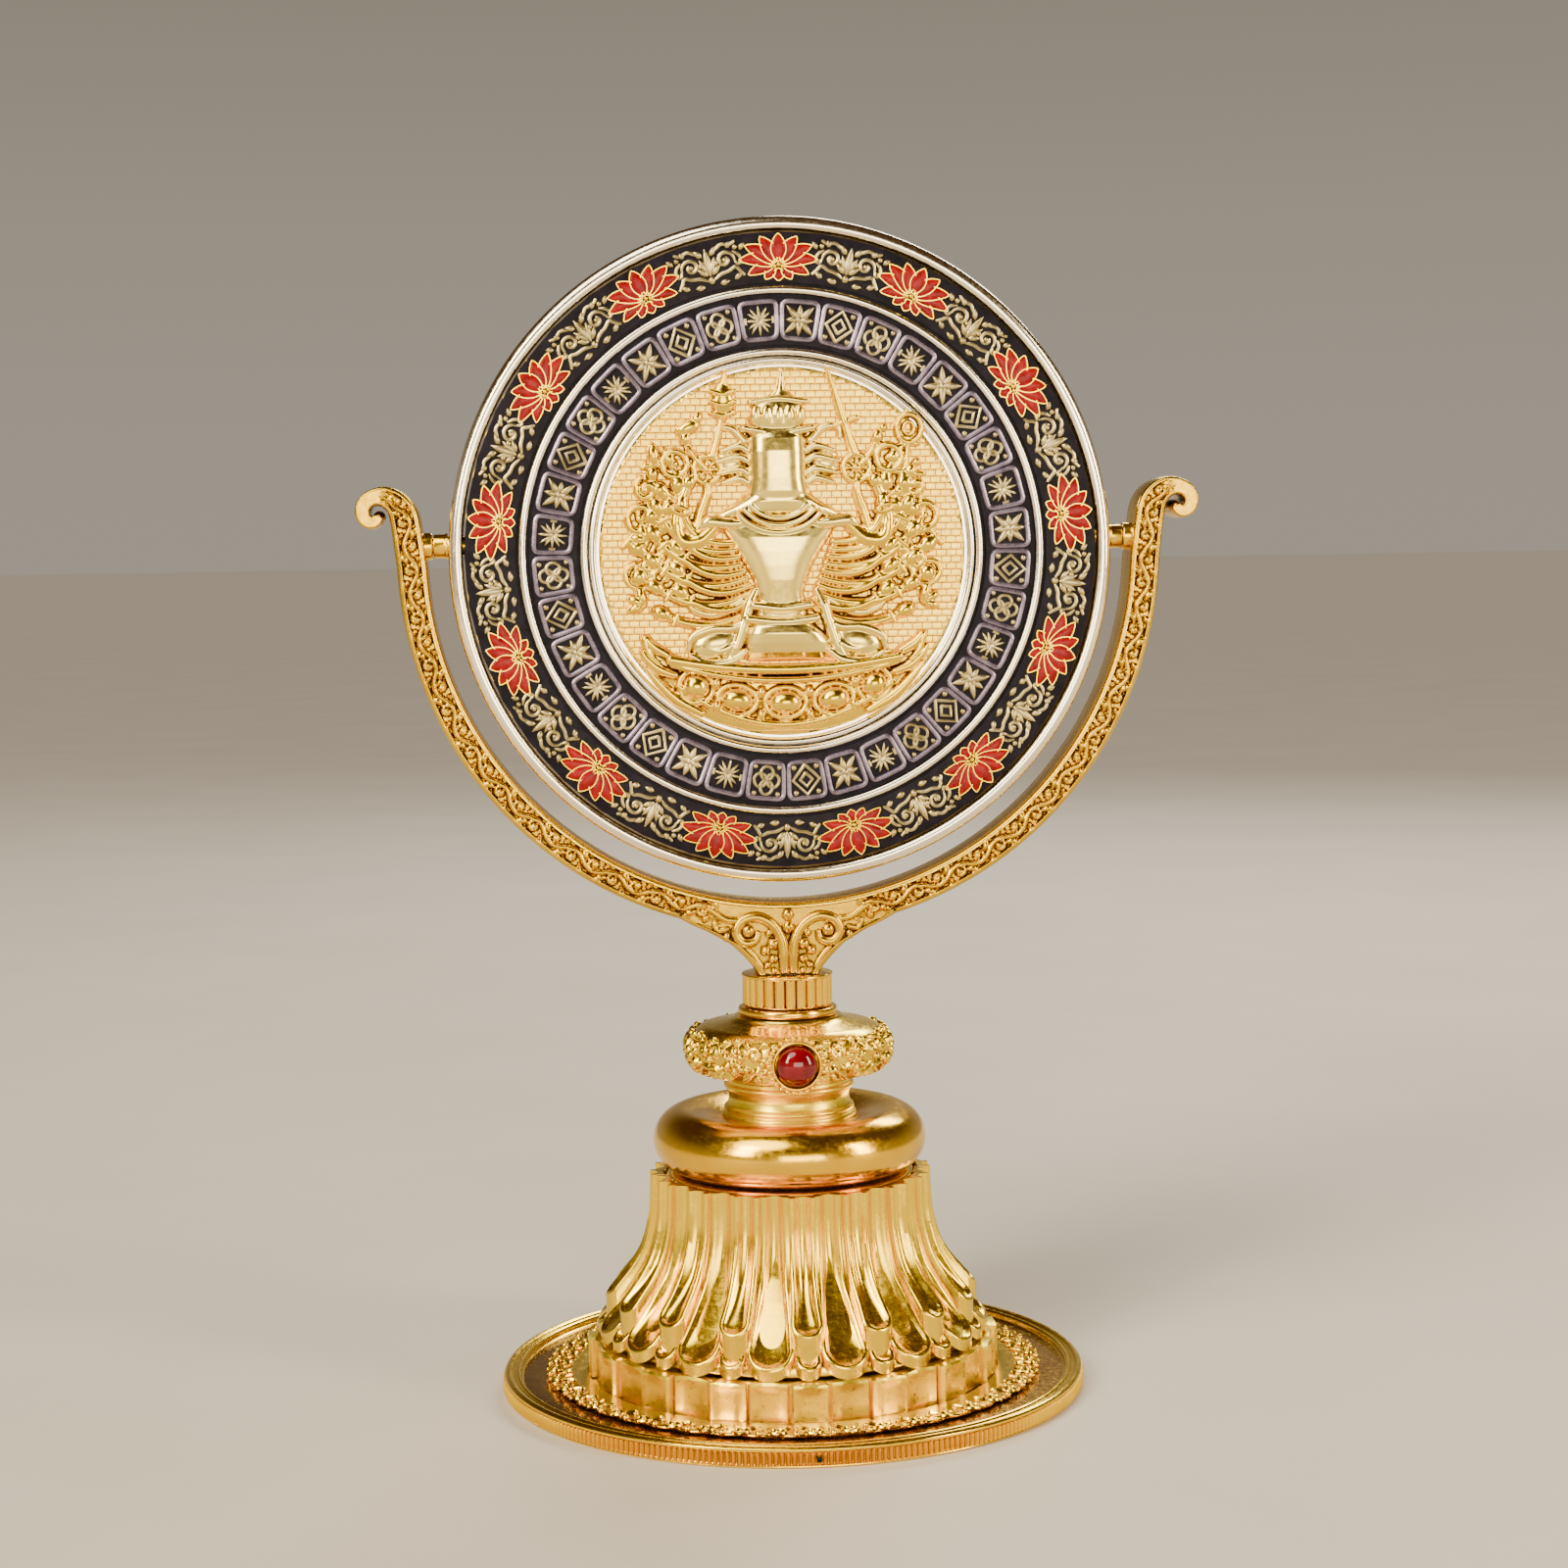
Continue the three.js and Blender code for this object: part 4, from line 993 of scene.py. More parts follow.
# ------------------------------------------------------------------ disc: rim, rings and enamel bands
def wheel_rim():
    """The broad polished rim, and the narrow rings that divide the front and edge the back's mirror."""
    inner, outer, front, back = disc_ring("wheel_rim")
    corners = ((inner, 0.5), (inner + 0.5, 0), (outer - 0.95, 0), (outer - 0.25, 0.45), (outer, 1.3))
    outline = ([(radius, front + inset) for radius, inset in corners]
               + [(radius, back - inset) for radius, inset in reversed(corners)])
    shape = Shape().add(*turned(rounded(outline, 0.4, 4), 256, upright=False))
    on_disc("wheel_rim_polished", shape, [MIRROR_GOLD], "wheel_rim", "pale_gold")
    for node in ("front_ring_inner", "front_ring_outer", "back_ring"):
        inner, outer, front, back = disc_ring(node)
        foot, face, out = (back, front, 1) if node.startswith("front") else (front, back, -1)
        outline = [(inner, foot), (inner, face + out * 0.35), (inner + 0.2, face + out * 0.1),
                   ((inner + outer) / 2, face - out * 0.02), (outer - 0.2, face + out * 0.1),
                   (outer, face + out * 0.35), (outer, foot)]
        shape = Shape().add(*turned(rounded(outline, 0.2, 3), 256, upright=False))
        on_disc(node + "_polished", shape, [MIRROR_GOLD], node, "pale_gold")


def tile_motif(kind, depth, w, h):
    """One block's ornament about its own middle: a rosette, a lozenge, a knot of rings or a cross of buds."""
    shape = Shape()

    def bar(points, radius):
        add_bar(shape, flat_path(points, depth), radius, flat=0.9)

    def corner_beads(size, share):
        for x, z in ((w, h), (-w, h), (w, -h), (-w, -h)):
            shape.add(*ball((x * share, depth, z * share), size, 6, 10, flat=0.9))

    if kind == 0:
        for k in range(8):
            reach = h if k % 4 == 2 else w if k % 4 == 0 else math.hypot(w, h) * 0.95
            add_leaf(shape, (0, 0), 45 * k, reach, 1.15, 0.5, depth, rows=7, columns=7)
        shape.add(*ball((0, depth - 0.15, 0), 0.55, 6, 10, flat=0.8))
    elif kind == 1:
        for share in (0.98, 0.45):
            bar([(0, -h * share), (w * share, 0), (0, h * share), (-w * share, 0), (0, -h * share),
                 (w * share * 0.1, -h * share * 0.9)], 0.33)
        corner_beads(0.48, 0.82)
    elif kind == 2:
        loop = np.radians(np.linspace(0, 360, 15))
        for x, z in ((0, h * 0.46), (0, -h * 0.46), (w * 0.46, 0), (-w * 0.46, 0)):
            bar(np.stack([x + 0.95 * np.cos(loop), z + 1.05 * np.sin(loop)], 1), 0.28)
        corner_beads(0.42, 0.86)
    else:
        for heading, reach in ((0, w), (90, h), (180, w), (270, h)):
            for lean in (-34, 0, 34):
                add_leaf(shape, (0, 0), heading + lean, reach * 0.98, 0.75, 0.45, depth, rows=7, columns=5)
        for x in (-w, w):
            bar([(x, -h * 0.2), (x, h * 0.2)], 0.26)
    return shape


def enamel_bed(node, thickness):
    """The dark enamel under a band of ornament, and the depth of the band's floor."""
    inner, outer, _, back = disc_ring(node)
    floor = back + 0.02
    bed = [(inner, floor), (inner, floor - thickness), (outer, floor - thickness), (outer, floor)]
    return Shape().add(*turned(rounded(bed, 0.05, 2), 180, upright=False), slot=1), floor, (inner + outer) / 2


def block_band():
    """Thirty-six framed ornament blocks on dark enamel between the two rings."""
    shape, floor, middle_radius = enamel_bed("tile_ring", 0.3)
    middle_radius += 0.1
    count, kinds, half_w, half_h, squareness = 36, 4, 2.0, 2.3, 0.3
    turn = np.radians(np.arange(0, 360, 8))
    box_x, box_z = (np.sign(wave) * np.abs(wave) ** squareness for wave in (np.cos(turn), np.sin(turn)))
    box_z = box_z * (half_h + 0.45)
    box_x = box_x * (half_w + 0.62) * (1 + box_z / middle_radius)
    frame_path = flat_path(np.stack([box_x, box_z], 1), floor - 0.3)
    blocks = [tile_motif(kind, floor - 0.38, half_w + 0.08, half_h + 0.05) for kind in range(kinds)]
    for block in blocks:
        closed_loop(block, frame_path, 0.4, 2)
    for i in range(count):
        shape.join(blocks[i % kinds], spin_out(TAU * (i + 0.5) / count, middle_radius))
    return on_disc("block_band", shape, [ANTIQUE, GUNMETAL, FRAME_GREY], "tile_ring", "antique_gold")


def scroll_band():
    """The outer band: dark enamel with a palmette and two scrolls between each pair of flowers."""
    shape, floor, middle_radius = enamel_bed("scroll_ring", 0.28)
    count, depth = 13, floor - 0.36
    group = Shape()

    def bar(points, radius):
        path = flat_path(points, depth)
        taper = np.interp(np.linspace(0, 1, len(path)), [0, 0.15, 0.85, 1], [0.55, 1, 0.95, 0.7])
        add_bar(group, path, radius * taper)

    leaves = ((0.2, -1.2, 68, 2.6), (0.3, -1.4, 40, 2.0), (3.6, -2.6, 25, 1.5), (1.2, -2.9, 5, 1.7),
              (3.1, 2.0, 60, 1.1), (0.6, 1.4, 50, 1.6), (4.9, 1.5, 50, 1.3))  # place, heading, length
    stems = (([(0.5, -2.2), (1.6, -1.6), (2.9, -1.35), (4.0, -0.9), (4.7, -1.7), (5.3, -2.3)], 0.34),
             ([(3.9, 1.5), (4.7, 0.8), (5.0, -0.2), (4.4, -0.5), (4.1, 0.1)], 0.29),
             ([(1.4, 2.0), (2.4, 2.7), (3.6, 2.5), (4.4, 2.9)], 0.31))       # places, radius
    for side in (-1, 1):
        bar(spiral((side * 2.55, 0.35), 90 - side * 100, 1.5, 0.4, side * 1.2, 26), 0.34)
        for places, radius in stems:
            bar(curve(mirrored(side, *places), 6), radius)
        for x, z, heading, length in leaves:
            facing = 90 - side * (90 - heading)
            add_leaf(group, (side * x, z), facing, length, 0.95, 0.42, depth, rows=7, columns=7)
        for x, z, size in ((2.55, 0.35, 0.42), (1.15, 0.2, 0.45), (4.3, 2.0, 0.42)):
            group.add(*ball((side * x, depth, z), size, 6, 10))
    add_leaf(group, (0, -1.6), 90, 4.2, 1.35, 0.5, depth, rows=9, columns=7)
    group.add(*ball((0, depth, -2.2), 0.6))

    def bent(points):
        x, y, z = points.T
        radius = middle_radius + z
        return np.stack([radius * np.sin(x / middle_radius), y, radius * np.cos(x / middle_radius)], 1)

    arched = Shape().join(group, bent)
    for i in range(count):
        shape.join(arched, spun(TAU * (i + 0.5) / count))
    return on_disc("scroll_band", shape, [ANTIQUE, GUNMETAL], "scroll_ring", "antique_gold")


def lotus_flower(depth):
    """One lotus: a wide fan of domed petals rising from a low heart, each inside a gold wire."""
    petals = [  # sideways place of the foot, its height, heading, length, width, upward bend
        (0.0, -1.6, 270, 1.9, 1.7, 0.0), (0.5, -1.5, -50, 2.3, 1.5, 0.05), (0.7, -1.4, -17, 4.0, 1.6, 0.08),
        (0.7, -1.2, 8, 5.3, 1.9, 0.10), (0.6, -1.0, 31, 5.2, 2.05, 0.08), (0.4, -0.8, 58, 4.5, 2.1, 0.04),
        (0.0, -0.7, 90, 4.2, 2.3, 0.0),
    ]
    fullness, overlap, share = 0.9, 0.05, np.linspace(0, 1, 13)
    flower = Shape()
    for order, (x, z, heading, length, width, bend) in enumerate(petals):
        lift = depth - overlap * order
        for side in (-1, 1) if x else (1,):
            foot, facing = (side * x, z), heading if side > 0 else 180 - heading
            add_leaf(flower, foot, facing, length, width, 0.3, lift, side * bend, rows=11, fullness=fullness)
            for edge in (-1, 1):
                wire = leaf_places(foot, facing, length, width, side * bend, fullness, share, edge)
                add_bar(flower, flat_path(np.stack(wire, 1), lift - 0.14), 0.125, slot=1, sides=6)
    for x, z in ((0, -1.1), (0.6, -1.35), (-0.6, -1.35)):
        flower.add(*ball((x, depth - 0.5, z), 0.34, flat=0.8), slot=1)
    return flower


def lotus_flowers():
    """Thirteen red lotus flowers around the outer band."""
    inner, outer, _, back = disc_ring("scroll_ring")
    nodes = sorted(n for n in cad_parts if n.startswith("lotus_flower_"))
    flower = lotus_flower(back - 0.3)
    for i, node in enumerate(nodes):
        shape = Shape().join(flower, spin_out(TAU * i / len(nodes), (inner + outer) / 2))
        name = node.replace("lotus_flower", "lotus_cloisonne")
        on_disc(name, shape, [RED, RELIEF_GOLD], node, "red_enamel")


# ------------------------------------------------------------------ disc: medallion and its relief
def medallion():
    """A plain turned edge round a field tooled like basket work, in short bars laid in staggered rows."""
    _, outer, front, back = disc_ring("medallion")
    edge = rounded([(outer - 1.5, back), (outer, back), (outer, front - 0.12), (outer - 0.35, front - 0.25),
                    (outer - 0.8, front - 0.12), (outer - 1.0, front + 0.1), (outer - 1.5, front + 0.1)],
                   0.12, 3)
    shape = Shape().add(*turned(edge, 200, upright=False), slot=1)
    row, bar, groove, joint = 1.0, 1.5, 0.09, 0.08
    reach = outer - 0.9

    def stations(pitch, gap):
        count = int(reach / pitch) + 1
        return (np.arange(-count, count)[:, None] * pitch + [-gap, 0, gap, pitch / 2]).ravel()

    xx, zz = np.meshgrid(stations(bar / 2, joint), stations(row, groove))
    course = np.floor(zz / row + 1e-6).astype(int)
    in_row = np.abs((zz / row) % 1 - 0.5) * 2
    in_bar = np.abs((xx / bar + 0.5 * (course % 2) + 1e-6) % 1 - 0.5) * 2
    low = (in_row > 0.92) | (in_bar > 0.96)
    y = front + 0.08 - np.where(low, 0, 0.11 + 0.05 * (1 - in_row ** 2) + 0.02 * (1 - in_bar ** 2))
    away = np.hypot(xx, zz)
    y = np.where(away > reach - 0.8, front + 0.13, y)
    inside = (away < reach).ravel()
    shape.add(*kept_faces(np.stack([xx, y, zz], -1), lambda faces: inside[faces].all(axis=1)))
    plate_edge, plate_front = outer - 1.2, front + 0.16
    plate = rounded([(0.0, plate_front), (plate_edge, plate_front), (plate_edge, back), (0.0, back)], 0.02, 1)
    shape.add(*turned(plate, 96, upright=False))
    return on_disc("medallion_field", shape, [FIELD_GOLD, MIRROR_GOLD], "medallion", sharp=30, open_back=True)


SINK = 0.5                      # how far a relief's edge is sunk into the field
MID = -0.6                      # the figure's middle line, a little left of the disc's


class Relief:
    """A height map over a patch of the medallion, built up from strokes and domes."""

    def __init__(self, low, high, step=0.15):
        self.x, self.z = np.meshgrid(np.arange(low[0], high[0] + step, step),
                                     np.arange(low[1], high[1] + step, step))
        self.h = np.full(self.x.shape, -SINK)

    def put(self, rise, inside, patch=...):
        """Adds a rise where it is inside, with a soft seam to what is there already."""
        soft, before = 0.12, self.h[patch]
        both = inside & (before > -SINK)
        blend = np.clip(soft - np.abs(rise - before), 0, None) ** 2 / (4 * soft)
        joined = np.maximum(before, rise) + np.where(both, blend, 0)
        self.h[patch] = np.where(inside, joined, before)

    def stroke(self, path, width, height, lift=0.0, smooth=6):
        """A round-topped bar; width and height may be pairs for the two ends or lists along it."""
        path = curve(path, smooth) if smooth else np.asarray(path, float)
        share = np.linspace(0, 1, len(path))
        widths = np.interp(share, np.linspace(0, 1, np.size(width)), np.atleast_1d(width))
        heights = np.interp(share, np.linspace(0, 1, np.size(height)), np.atleast_1d(height))
        low, high = path.min(0) - widths.max() - 0.2, path.max(0) + widths.max() + 0.2
        patch = (slice(*np.searchsorted(self.z[:, 0], [low[1], high[1]])),
                 slice(*np.searchsorted(self.x[0], [low[0], high[0]])))
        x, z = self.x[patch], self.z[patch]
        if not x.size:
            return
        best, rise = np.full(x.shape, 9.0), np.full(x.shape, -SINK)
        for k in range(len(path) - 1):
            a, d = path[k], path[k + 1] - path[k]
            t = np.clip(((x - a[0]) * d[0] + (z - a[1]) * d[1]) / max(d @ d, 1e-9), 0, 1)
            away = np.hypot(x - a[0] - t * d[0], z - a[1] - t * d[1])
            w = widths[k] + t * (widths[k + 1] - widths[k])
            top = heights[k] + t * (heights[k + 1] - heights[k])
            ratio = away / np.maximum(w, 1e-6)
            level = lift + top * np.sqrt(np.clip(1 - ratio ** 2, 0, 1))
            rise = np.where(ratio < 1, np.maximum(rise, level), rise)
            best = np.minimum(best, ratio)
        self.put(rise, best < 1, patch=patch)

    def dome(self, centre, size, height, turn=0.0, lift=0.0, power=0.5):
        """An oval swelling."""
        c, s = unit(turn)
        u = ((self.x - centre[0]) * c + (self.z - centre[1]) * s) / size[0]
        v = ((self.z - centre[1]) * c - (self.x - centre[0]) * s) / size[1]
        inside = u * u + v * v < 1
        self.put(lift + height * np.clip(1 - u * u - v * v, 0, 1) ** power, inside)

    def loop(self, centre, size, width, height, turn=0.0, lift=0.0, start=0, end=360):
        """A bar along an oval, or along a part of one."""
        a = np.radians(np.linspace(start, end, 40))
        c, s = unit(turn)
        u, v = size[0] * np.cos(a), size[1] * np.sin(a)
        path = np.stack([centre[0] + u * c - v * s, centre[1] + u * s + v * c], 1)
        self.stroke(path, width, height, lift, smooth=0)

    def body(self, rows, power):
        """A rounded form given row by row as (z, middle, half-width, height)."""
        rows = np.asarray(sorted(rows), float)
        line = [np.interp(self.z, rows[:, 0], rows[:, k]) for k in (1, 2, 3)]
        u = np.abs(self.x - line[0]) / np.maximum(line[1], 1e-6)
        inside = (u < 1) & (self.z >= rows[0, 0]) & (self.z <= rows[-1, 0])
        self.put(line[2] * np.clip(1 - u ** power, 0, 1) ** 0.5, inside)

    def shape(self, floor):
        """The raised part as a surface whose edge lies level, ready to be closed at its back."""
        high = (self.h > -SINK).ravel()
        points = np.stack([self.x, floor - self.h, self.z], -1)
        return Shape().add(*kept_faces(points, lambda faces: high[faces].any(axis=1)))


def relief_piece(name, relief, material, node):
    """A relief on the medallion's front."""
    shape = relief.shape(disc_ring("medallion")[2])
    return on_disc(name, shape, [material], node, sharp=75, open_back=True)


def seated_figure():
    """The figure is seen from behind: smooth hair, a mantle, a tapering back and a draped seat."""
    r = Relief((-15.5, -17.5), (15.5, 28))
    r.body([(-16.5, 0.9, 6.6, 0.1), (-16.0, 0.9, 7.0, 0.9), (-15.0, 0.8, 7.1, 1.9), (-13.6, 0.5, 6.8, 2.7),
            (-12.2, 0.1, 6.2, 3.0), (-11.2, -0.2, 5.5, 2.8), (-10.4, -0.4, 5.0, 2.2)], 3)
    r.body([(-11.0, -0.4, 4.9, 2.0), (-9.6, -0.4, 4.4, 2.1), (-8.0, -0.5, 3.9, 2.2), (-6.0, -0.5, 3.7, 2.4),
            (-4.2, -0.5, 4.2, 2.6), (-2.0, -0.6, 5.2, 2.7), (0.2, -0.6, 6.5, 2.75), (2.2, -0.6, 7.8, 2.7),
            (3.6, -0.7, 8.9, 2.4), (4.8, -0.7, 9.4, 1.9)], 3.2)
    for z, width in ((-8.3, 4.3), (-10.3, 5.2)):
        r.stroke([(-width - 0.3, z + 0.35), (-0.4, z - 0.15), (width - 0.5, z + 0.35)], 0.7, 0.8, 1.9)
    mantle(r)
    hair_and_crown(r)
    knees(r)
    return relief_piece("figure_back_view", r, FIGURE_GOLD, "seated_figure")


def mantle(r):
    """A shawl that slopes from the neck to both shoulders, with necklace rows under it."""
    r.body([(4.6, MID, 10.6, 1.0), (5.4, MID, 10.0, 2.0), (6.4, MID, 8.4, 2.8), (7.6, MID, 6.4, 3.1),
            (8.8, MID, 4.9, 2.9), (9.4, MID, 4.2, 2.4)], 2.6)
    for side in (-1, 1):
        r.stroke(mirrored(side, (4.0, 4.4), (7.4, 4.3), (10.4, 4.6), (11.6, 3.9)) + [MID, 0],
                 [0.5, 0.9, 1.0, 0.5], [0.6, 1.0, 0.9, 0.4], 1.5)
    for radius in (4.6, 5.7, 6.8):
        r.loop((MID, 9.4), (radius * 1.1, radius * 0.95), 0.42, 0.45, lift=2.35, start=215, end=325)


def hair_and_crown(r):
    """Smooth hair under a tall crown, with a knot of tresses and a curl at each side."""
    r.body([(7.0, -0.6, 4.6, 2.2), (7.7, -0.6, 5.1, 3.0), (9.0, -0.6, 4.9, 3.3), (11.0, -0.65, 4.65, 3.4),
            (15.0, -0.7, 4.65, 3.4), (17.0, -0.7, 4.5, 3.1), (18.2, -0.7, 4.0, 2.4)], 2.7)
    r.body([(17.4, -0.7, 4.6, 1.8), (18.2, -0.7, 4.9, 2.3), (19.0, -0.7, 4.6, 2.5), (20.4, -0.6, 4.4, 2.6),
            (21.8, -0.5, 4.3, 2.4), (22.6, -0.4, 3.8, 1.9)], 3.2)
    r.stroke([(-5.7, 18.4), (-0.6, 17.7), (4.5, 18.4)], 0.55, 0.6, 2.0)
    for x in (-3.9, -2.3, -0.6, 1.1, 2.7):
        r.dome((x, 20.3), (0.75, 1.5), 0.55, lift=2.3)
    r.stroke([(-4.6, 22.3), (-0.5, 22.8), (3.7, 22.3)], 0.5, 0.6, 1.6)
    r.body([(22.4, -0.2, 2.9, 1.8), (23.4, 0.0, 1.9, 1.7), (24.1, 0.0, 1.05, 1.5), (25.0, 0.05, 0.8, 1.3),
            (26.2, 0.1, 0.5, 1.0), (27.4, 0.1, 0.2, 0.5)], 2)
    for side in (-1, 1):
        r.dome(mirrored(side, (7.2, 13.4)) + [MID, 0], (2.2, 2.4), 1.1, lift=0.2)
        for z, reach in ((15.6, 8.4), (14.0, 9.1), (12.2, 9.0), (10.8, 8.3)):
            r.stroke(mirrored(side, (4.4, z - 0.5), (5.8, z + 0.2), (reach, z - 0.5)) + [MID, 0],
                     [0.6, 0.7, 0.4], 0.8, 0.9)
        r.stroke(mirrored(side, (5.0, 16.6), (6.8, 18.4), (9.0, 18.6), (9.4, 16.9)) + [MID, 0],
                 [0.8, 0.7, 0.6, 0.35], 0.95, 0.4)


def knees(r):
    """Folded legs at both sides of the seat, under draped folds, with a scarf falling over each."""
    folds = (((5.2, -9.6), (7.6, -11.2), (11.0, -11.4), (13.9, -12.6), (14.6, -14.6)),
             ((6.0, -14.8), (8.0, -16.2), (11.6, -16.6), (14.2, -15.2)),
             ((7.2, -13.4), (9.6, -14.6), (12.4, -14.2)))
    for side, shift in ((-1, (0, 0)), (1, (0.7, 0))):
        r.dome(mirrored(side, (10.3, -13.6)) + shift, (4.3, 2.9), 2.0, -side * 14, 0.3, 0.6)
        for fold in folds:
            r.stroke(mirrored(side, *fold) + shift, [0.5, 0.75, 0.75, 0.4], [0.6, 0.8, 0.8, 0.5], 1.5)
        r.stroke(mirrored(side, (4.3, -5.8), (5.3, -8.0), (6.2, -11.0), (7.4, -14.4), (8.8, -16.4)) + shift,
                 [0.6, 1.0, 1.05, 0.95, 0.6], [0.8, 1.4, 1.6, 1.5, 1.0], 0.8)
        r.stroke(mirrored(side, (6.2, -7.2), (8.6, -8.6), (11.0, -9.2), (13.6, -8.4), (15.0, -6.6)) + shift,
                 [0.8, 0.95, 0.85, 0.7, 0.35], 1.1, 0.5)


def arm_fan(side, name):
    """One side's fan of arms. Each one sweeps out and up to a hand that holds a small offering."""
    r = Relief(*(((-26.6, -13.5), (-3.4, 27.8)) if side < 0 else ((3.0, -13.5), (26.6, 27.8))))
    arms = 10
    t = np.linspace(0, 1, 15)[:, None]
    for k in range(arms):
        share = k / (arms - 1)
        start = mirrored(side, (4.2 + 3.4 * share, -8.2 + 9.6 * share))
        reach = (20.4, 16.8)[k % 2] - 0.8 * math.sin(math.pi * share)
        end = reach * mirrored(side, unit(-26 + 52 * share))
        elbow = start + 0.42 * reach * mirrored(side, unit(-34 + 30 * share))
        path = (1 - t) ** 2 * start + 2 * t * (1 - t) * elbow + t * t * end
        r.stroke(path, [0.65, 0.85, 0.98, 0.8], [1.2, 1.7, 1.7, 1.3], 0.15 + 0.15 * (k % 2), smooth=0)
        heading = math.degrees(math.atan2(*(path[-1] - path[-3])[::-1]))
        aim = unit(heading)
        across = 0.9 * aim[::-1] * [-1, 1]
        r.stroke([path[-3] + across, path[-3] - across], 0.36, 0.5, 1.3, 2)
        r.dome(end, (1.8, 1.25), 1.6, heading, 0.45)
        offering(r, k % 5, end + 2.9 * aim, heading)
        if k % 2:
            offering(r, (k + 2) % 5, end + 6.3 * aim + [0, side * 0.3], heading + 30)
    raised_arms(r, side)
    return relief_piece(name + "_cast", r, RELIEF_GOLD, name)


def offering(r, kind, place, heading):
    """A small thing held in a hand: a lotus bud, a ring, a jewel, a shell or a flask."""
    size = 1.25
    if kind == 0:
        for turn in (heading - 46, heading, heading + 46):
            r.dome(place + size * unit(turn), (1.35 * size, 0.7 * size), 1.3, turn, 0.35)
    elif kind == 1:
        r.loop(place, (1.5 * size, 1.5 * size), 0.62, 1.1, lift=0.35)
        r.dome(place, (0.75, 0.75), 1.1, lift=0.3)
    elif kind == 2:
        r.dome(place, (1.15 * size, 1.15 * size), 1.5, lift=0.4)
        r.loop(place, (1.7 * size, 1.35 * size), 0.5, 0.8, heading, 0.4)
    elif kind == 3:
        r.stroke(spiral(place, heading, 1.6 * size, 0.5, 1.2, 20), [0.5, 0.85], [0.9, 1.3], 0.35, smooth=0)
    else:
        ahead = size * unit(heading)
        neck, across = place + 1.4 * ahead, ahead[::-1] * [-1, 1]
        r.stroke([place - ahead, place, neck], [0.8, 1.4, 0.6], [1.0, 1.4, 0.9], 0.35, 4)
        r.stroke([neck + across, neck - across], 0.5, 0.8, 0.5, 3)


def raised_arms(r, side):
    """The upper arms lift from the shoulders, with a staff, a wheel and rings above them."""
    r.stroke(mirrored(side, (10.2, 3.8), (12.6, 1.8), (15.2, 2.0), (15.9, 5.2), (14.4, 9.4)),
             [1.1, 1.45, 1.35, 1.15, 0.9], [1.3, 1.7, 1.6, 1.4, 1.1], 0.6)
    r.loop((side * 15.4, 6.4), (1.2, 0.45), 0.34, 0.5, 15 * side, 1.7)
    r.dome((side * 14.0, 10.5), (1.2, 1.35), 1.3, 20 * side, 0.6)
    r.stroke(mirrored(side, (13.0, 3.4), (12.2, 6.0), (11.3, 8.6), (11.3, 10.4)), [0.9, 0.95, 0.8, 0.7],
             [1.2, 1.2, 1.0, 0.9], 0.5)
    centre = mirrored(side, (11.2, 12.4))
    r.loop(centre, (2.0, 2.0), 0.58, 0.9, lift=0.4)
    for turn in range(0, 180, 45):
        spoke = 1.7 * unit(turn)
        r.stroke([centre - spoke, centre + spoke], 0.3, 0.6, 0.4, 2)
    r.dome(centre, (0.75, 0.75), 1.0, lift=0.5)
    for x, z in ((17.6, 8.2), (19.4, 11.2), (16.8, 13.4), (14.4, 16.4)):
        r.stroke(mirrored(side, (x - 2.4, z - 3.4), (x - 0.7, z - 1.2), (x, z)), [0.65, 0.7, 0.55],
                 [1.1, 1.1, 0.9], 0.25)
        r.dome((side * x, z + 0.6), (1.0, 1.25), 1.2, lift=0.35)
        r.dome((side * (x + 0.9), z + 1.9), (0.8, 0.7), 1.0, 30 * side, 0.3)
    if side > 0:
        staff_and_mirror(r)
    else:
        flask_and_shells(r)


def staff_and_mirror(r):
    """What the right side's upper hands hold: a short staff with a guard, and a mirror on a stem."""
    r.stroke([(9.4, 19.2), (8.7, 21.6), (7.0, 27.2)], [0.85, 0.75, 0.3], [1.1, 1.0, 0.8], 0.45, 3)
    r.stroke([(7.7, 18.6), (11.3, 19.8)], 0.6, 0.9, 0.5, 3)
    r.stroke([(9.5, 19.0), (10.4, 16.2), (11.0, 14.6)], [0.6, 0.9, 0.9], 1.1, 0.4)
    r.loop((19.2, 18.2), (1.9, 2.1), 0.5, 0.9, lift=0.35)
    r.loop((19.2, 18.2), (0.8, 0.95), 0.36, 0.7, lift=0.35)
    r.stroke([(19.1, 16.2), (18.8, 14.2), (18.6, 12.2)], [0.42, 0.5, 0.65], 0.9, 0.35)
    r.stroke([(17.6, 15.6), (20.6, 15.9)], 0.46, 0.75, 0.4, 3)


def flask_and_shells(r):
    """What the left side's upper hands hold: a tall ribbed flask, a shell and a bud."""
    r.stroke([(-10.4, 14.4), (-9.5, 17.6), (-9.0, 20.0)], [0.85, 0.7, 0.7], 1.1, 0.4)
    r.dome((-8.7, 22.6), (1.9, 3.0), 1.5, 4, 0.4)
    r.stroke([(-8.6, 25.0), (-8.3, 26.8)], [0.8, 0.3], 0.9, 0.5, 3)
    for z in (20.8, 22.4, 24.0):
        r.stroke([(-10.6, z), (-8.7, z - 0.5), (-6.9, z)], 0.38, 0.6, 1.35)
    r.dome((-14.0, 18.6), (2.1, 1.2), 1.2, 25, 0.35)
    r.dome((-12.6, 20.0), (1.2, 0.9), 1.0, 60, 0.35)
    r.dome((-19.2, 14.6), (1.0, 2.0), 1.2, 6, 0.35)
    r.stroke([(-20.8, 12.8), (-19.2, 13.2), (-17.6, 12.8)], 0.46, 0.75, 0.5)


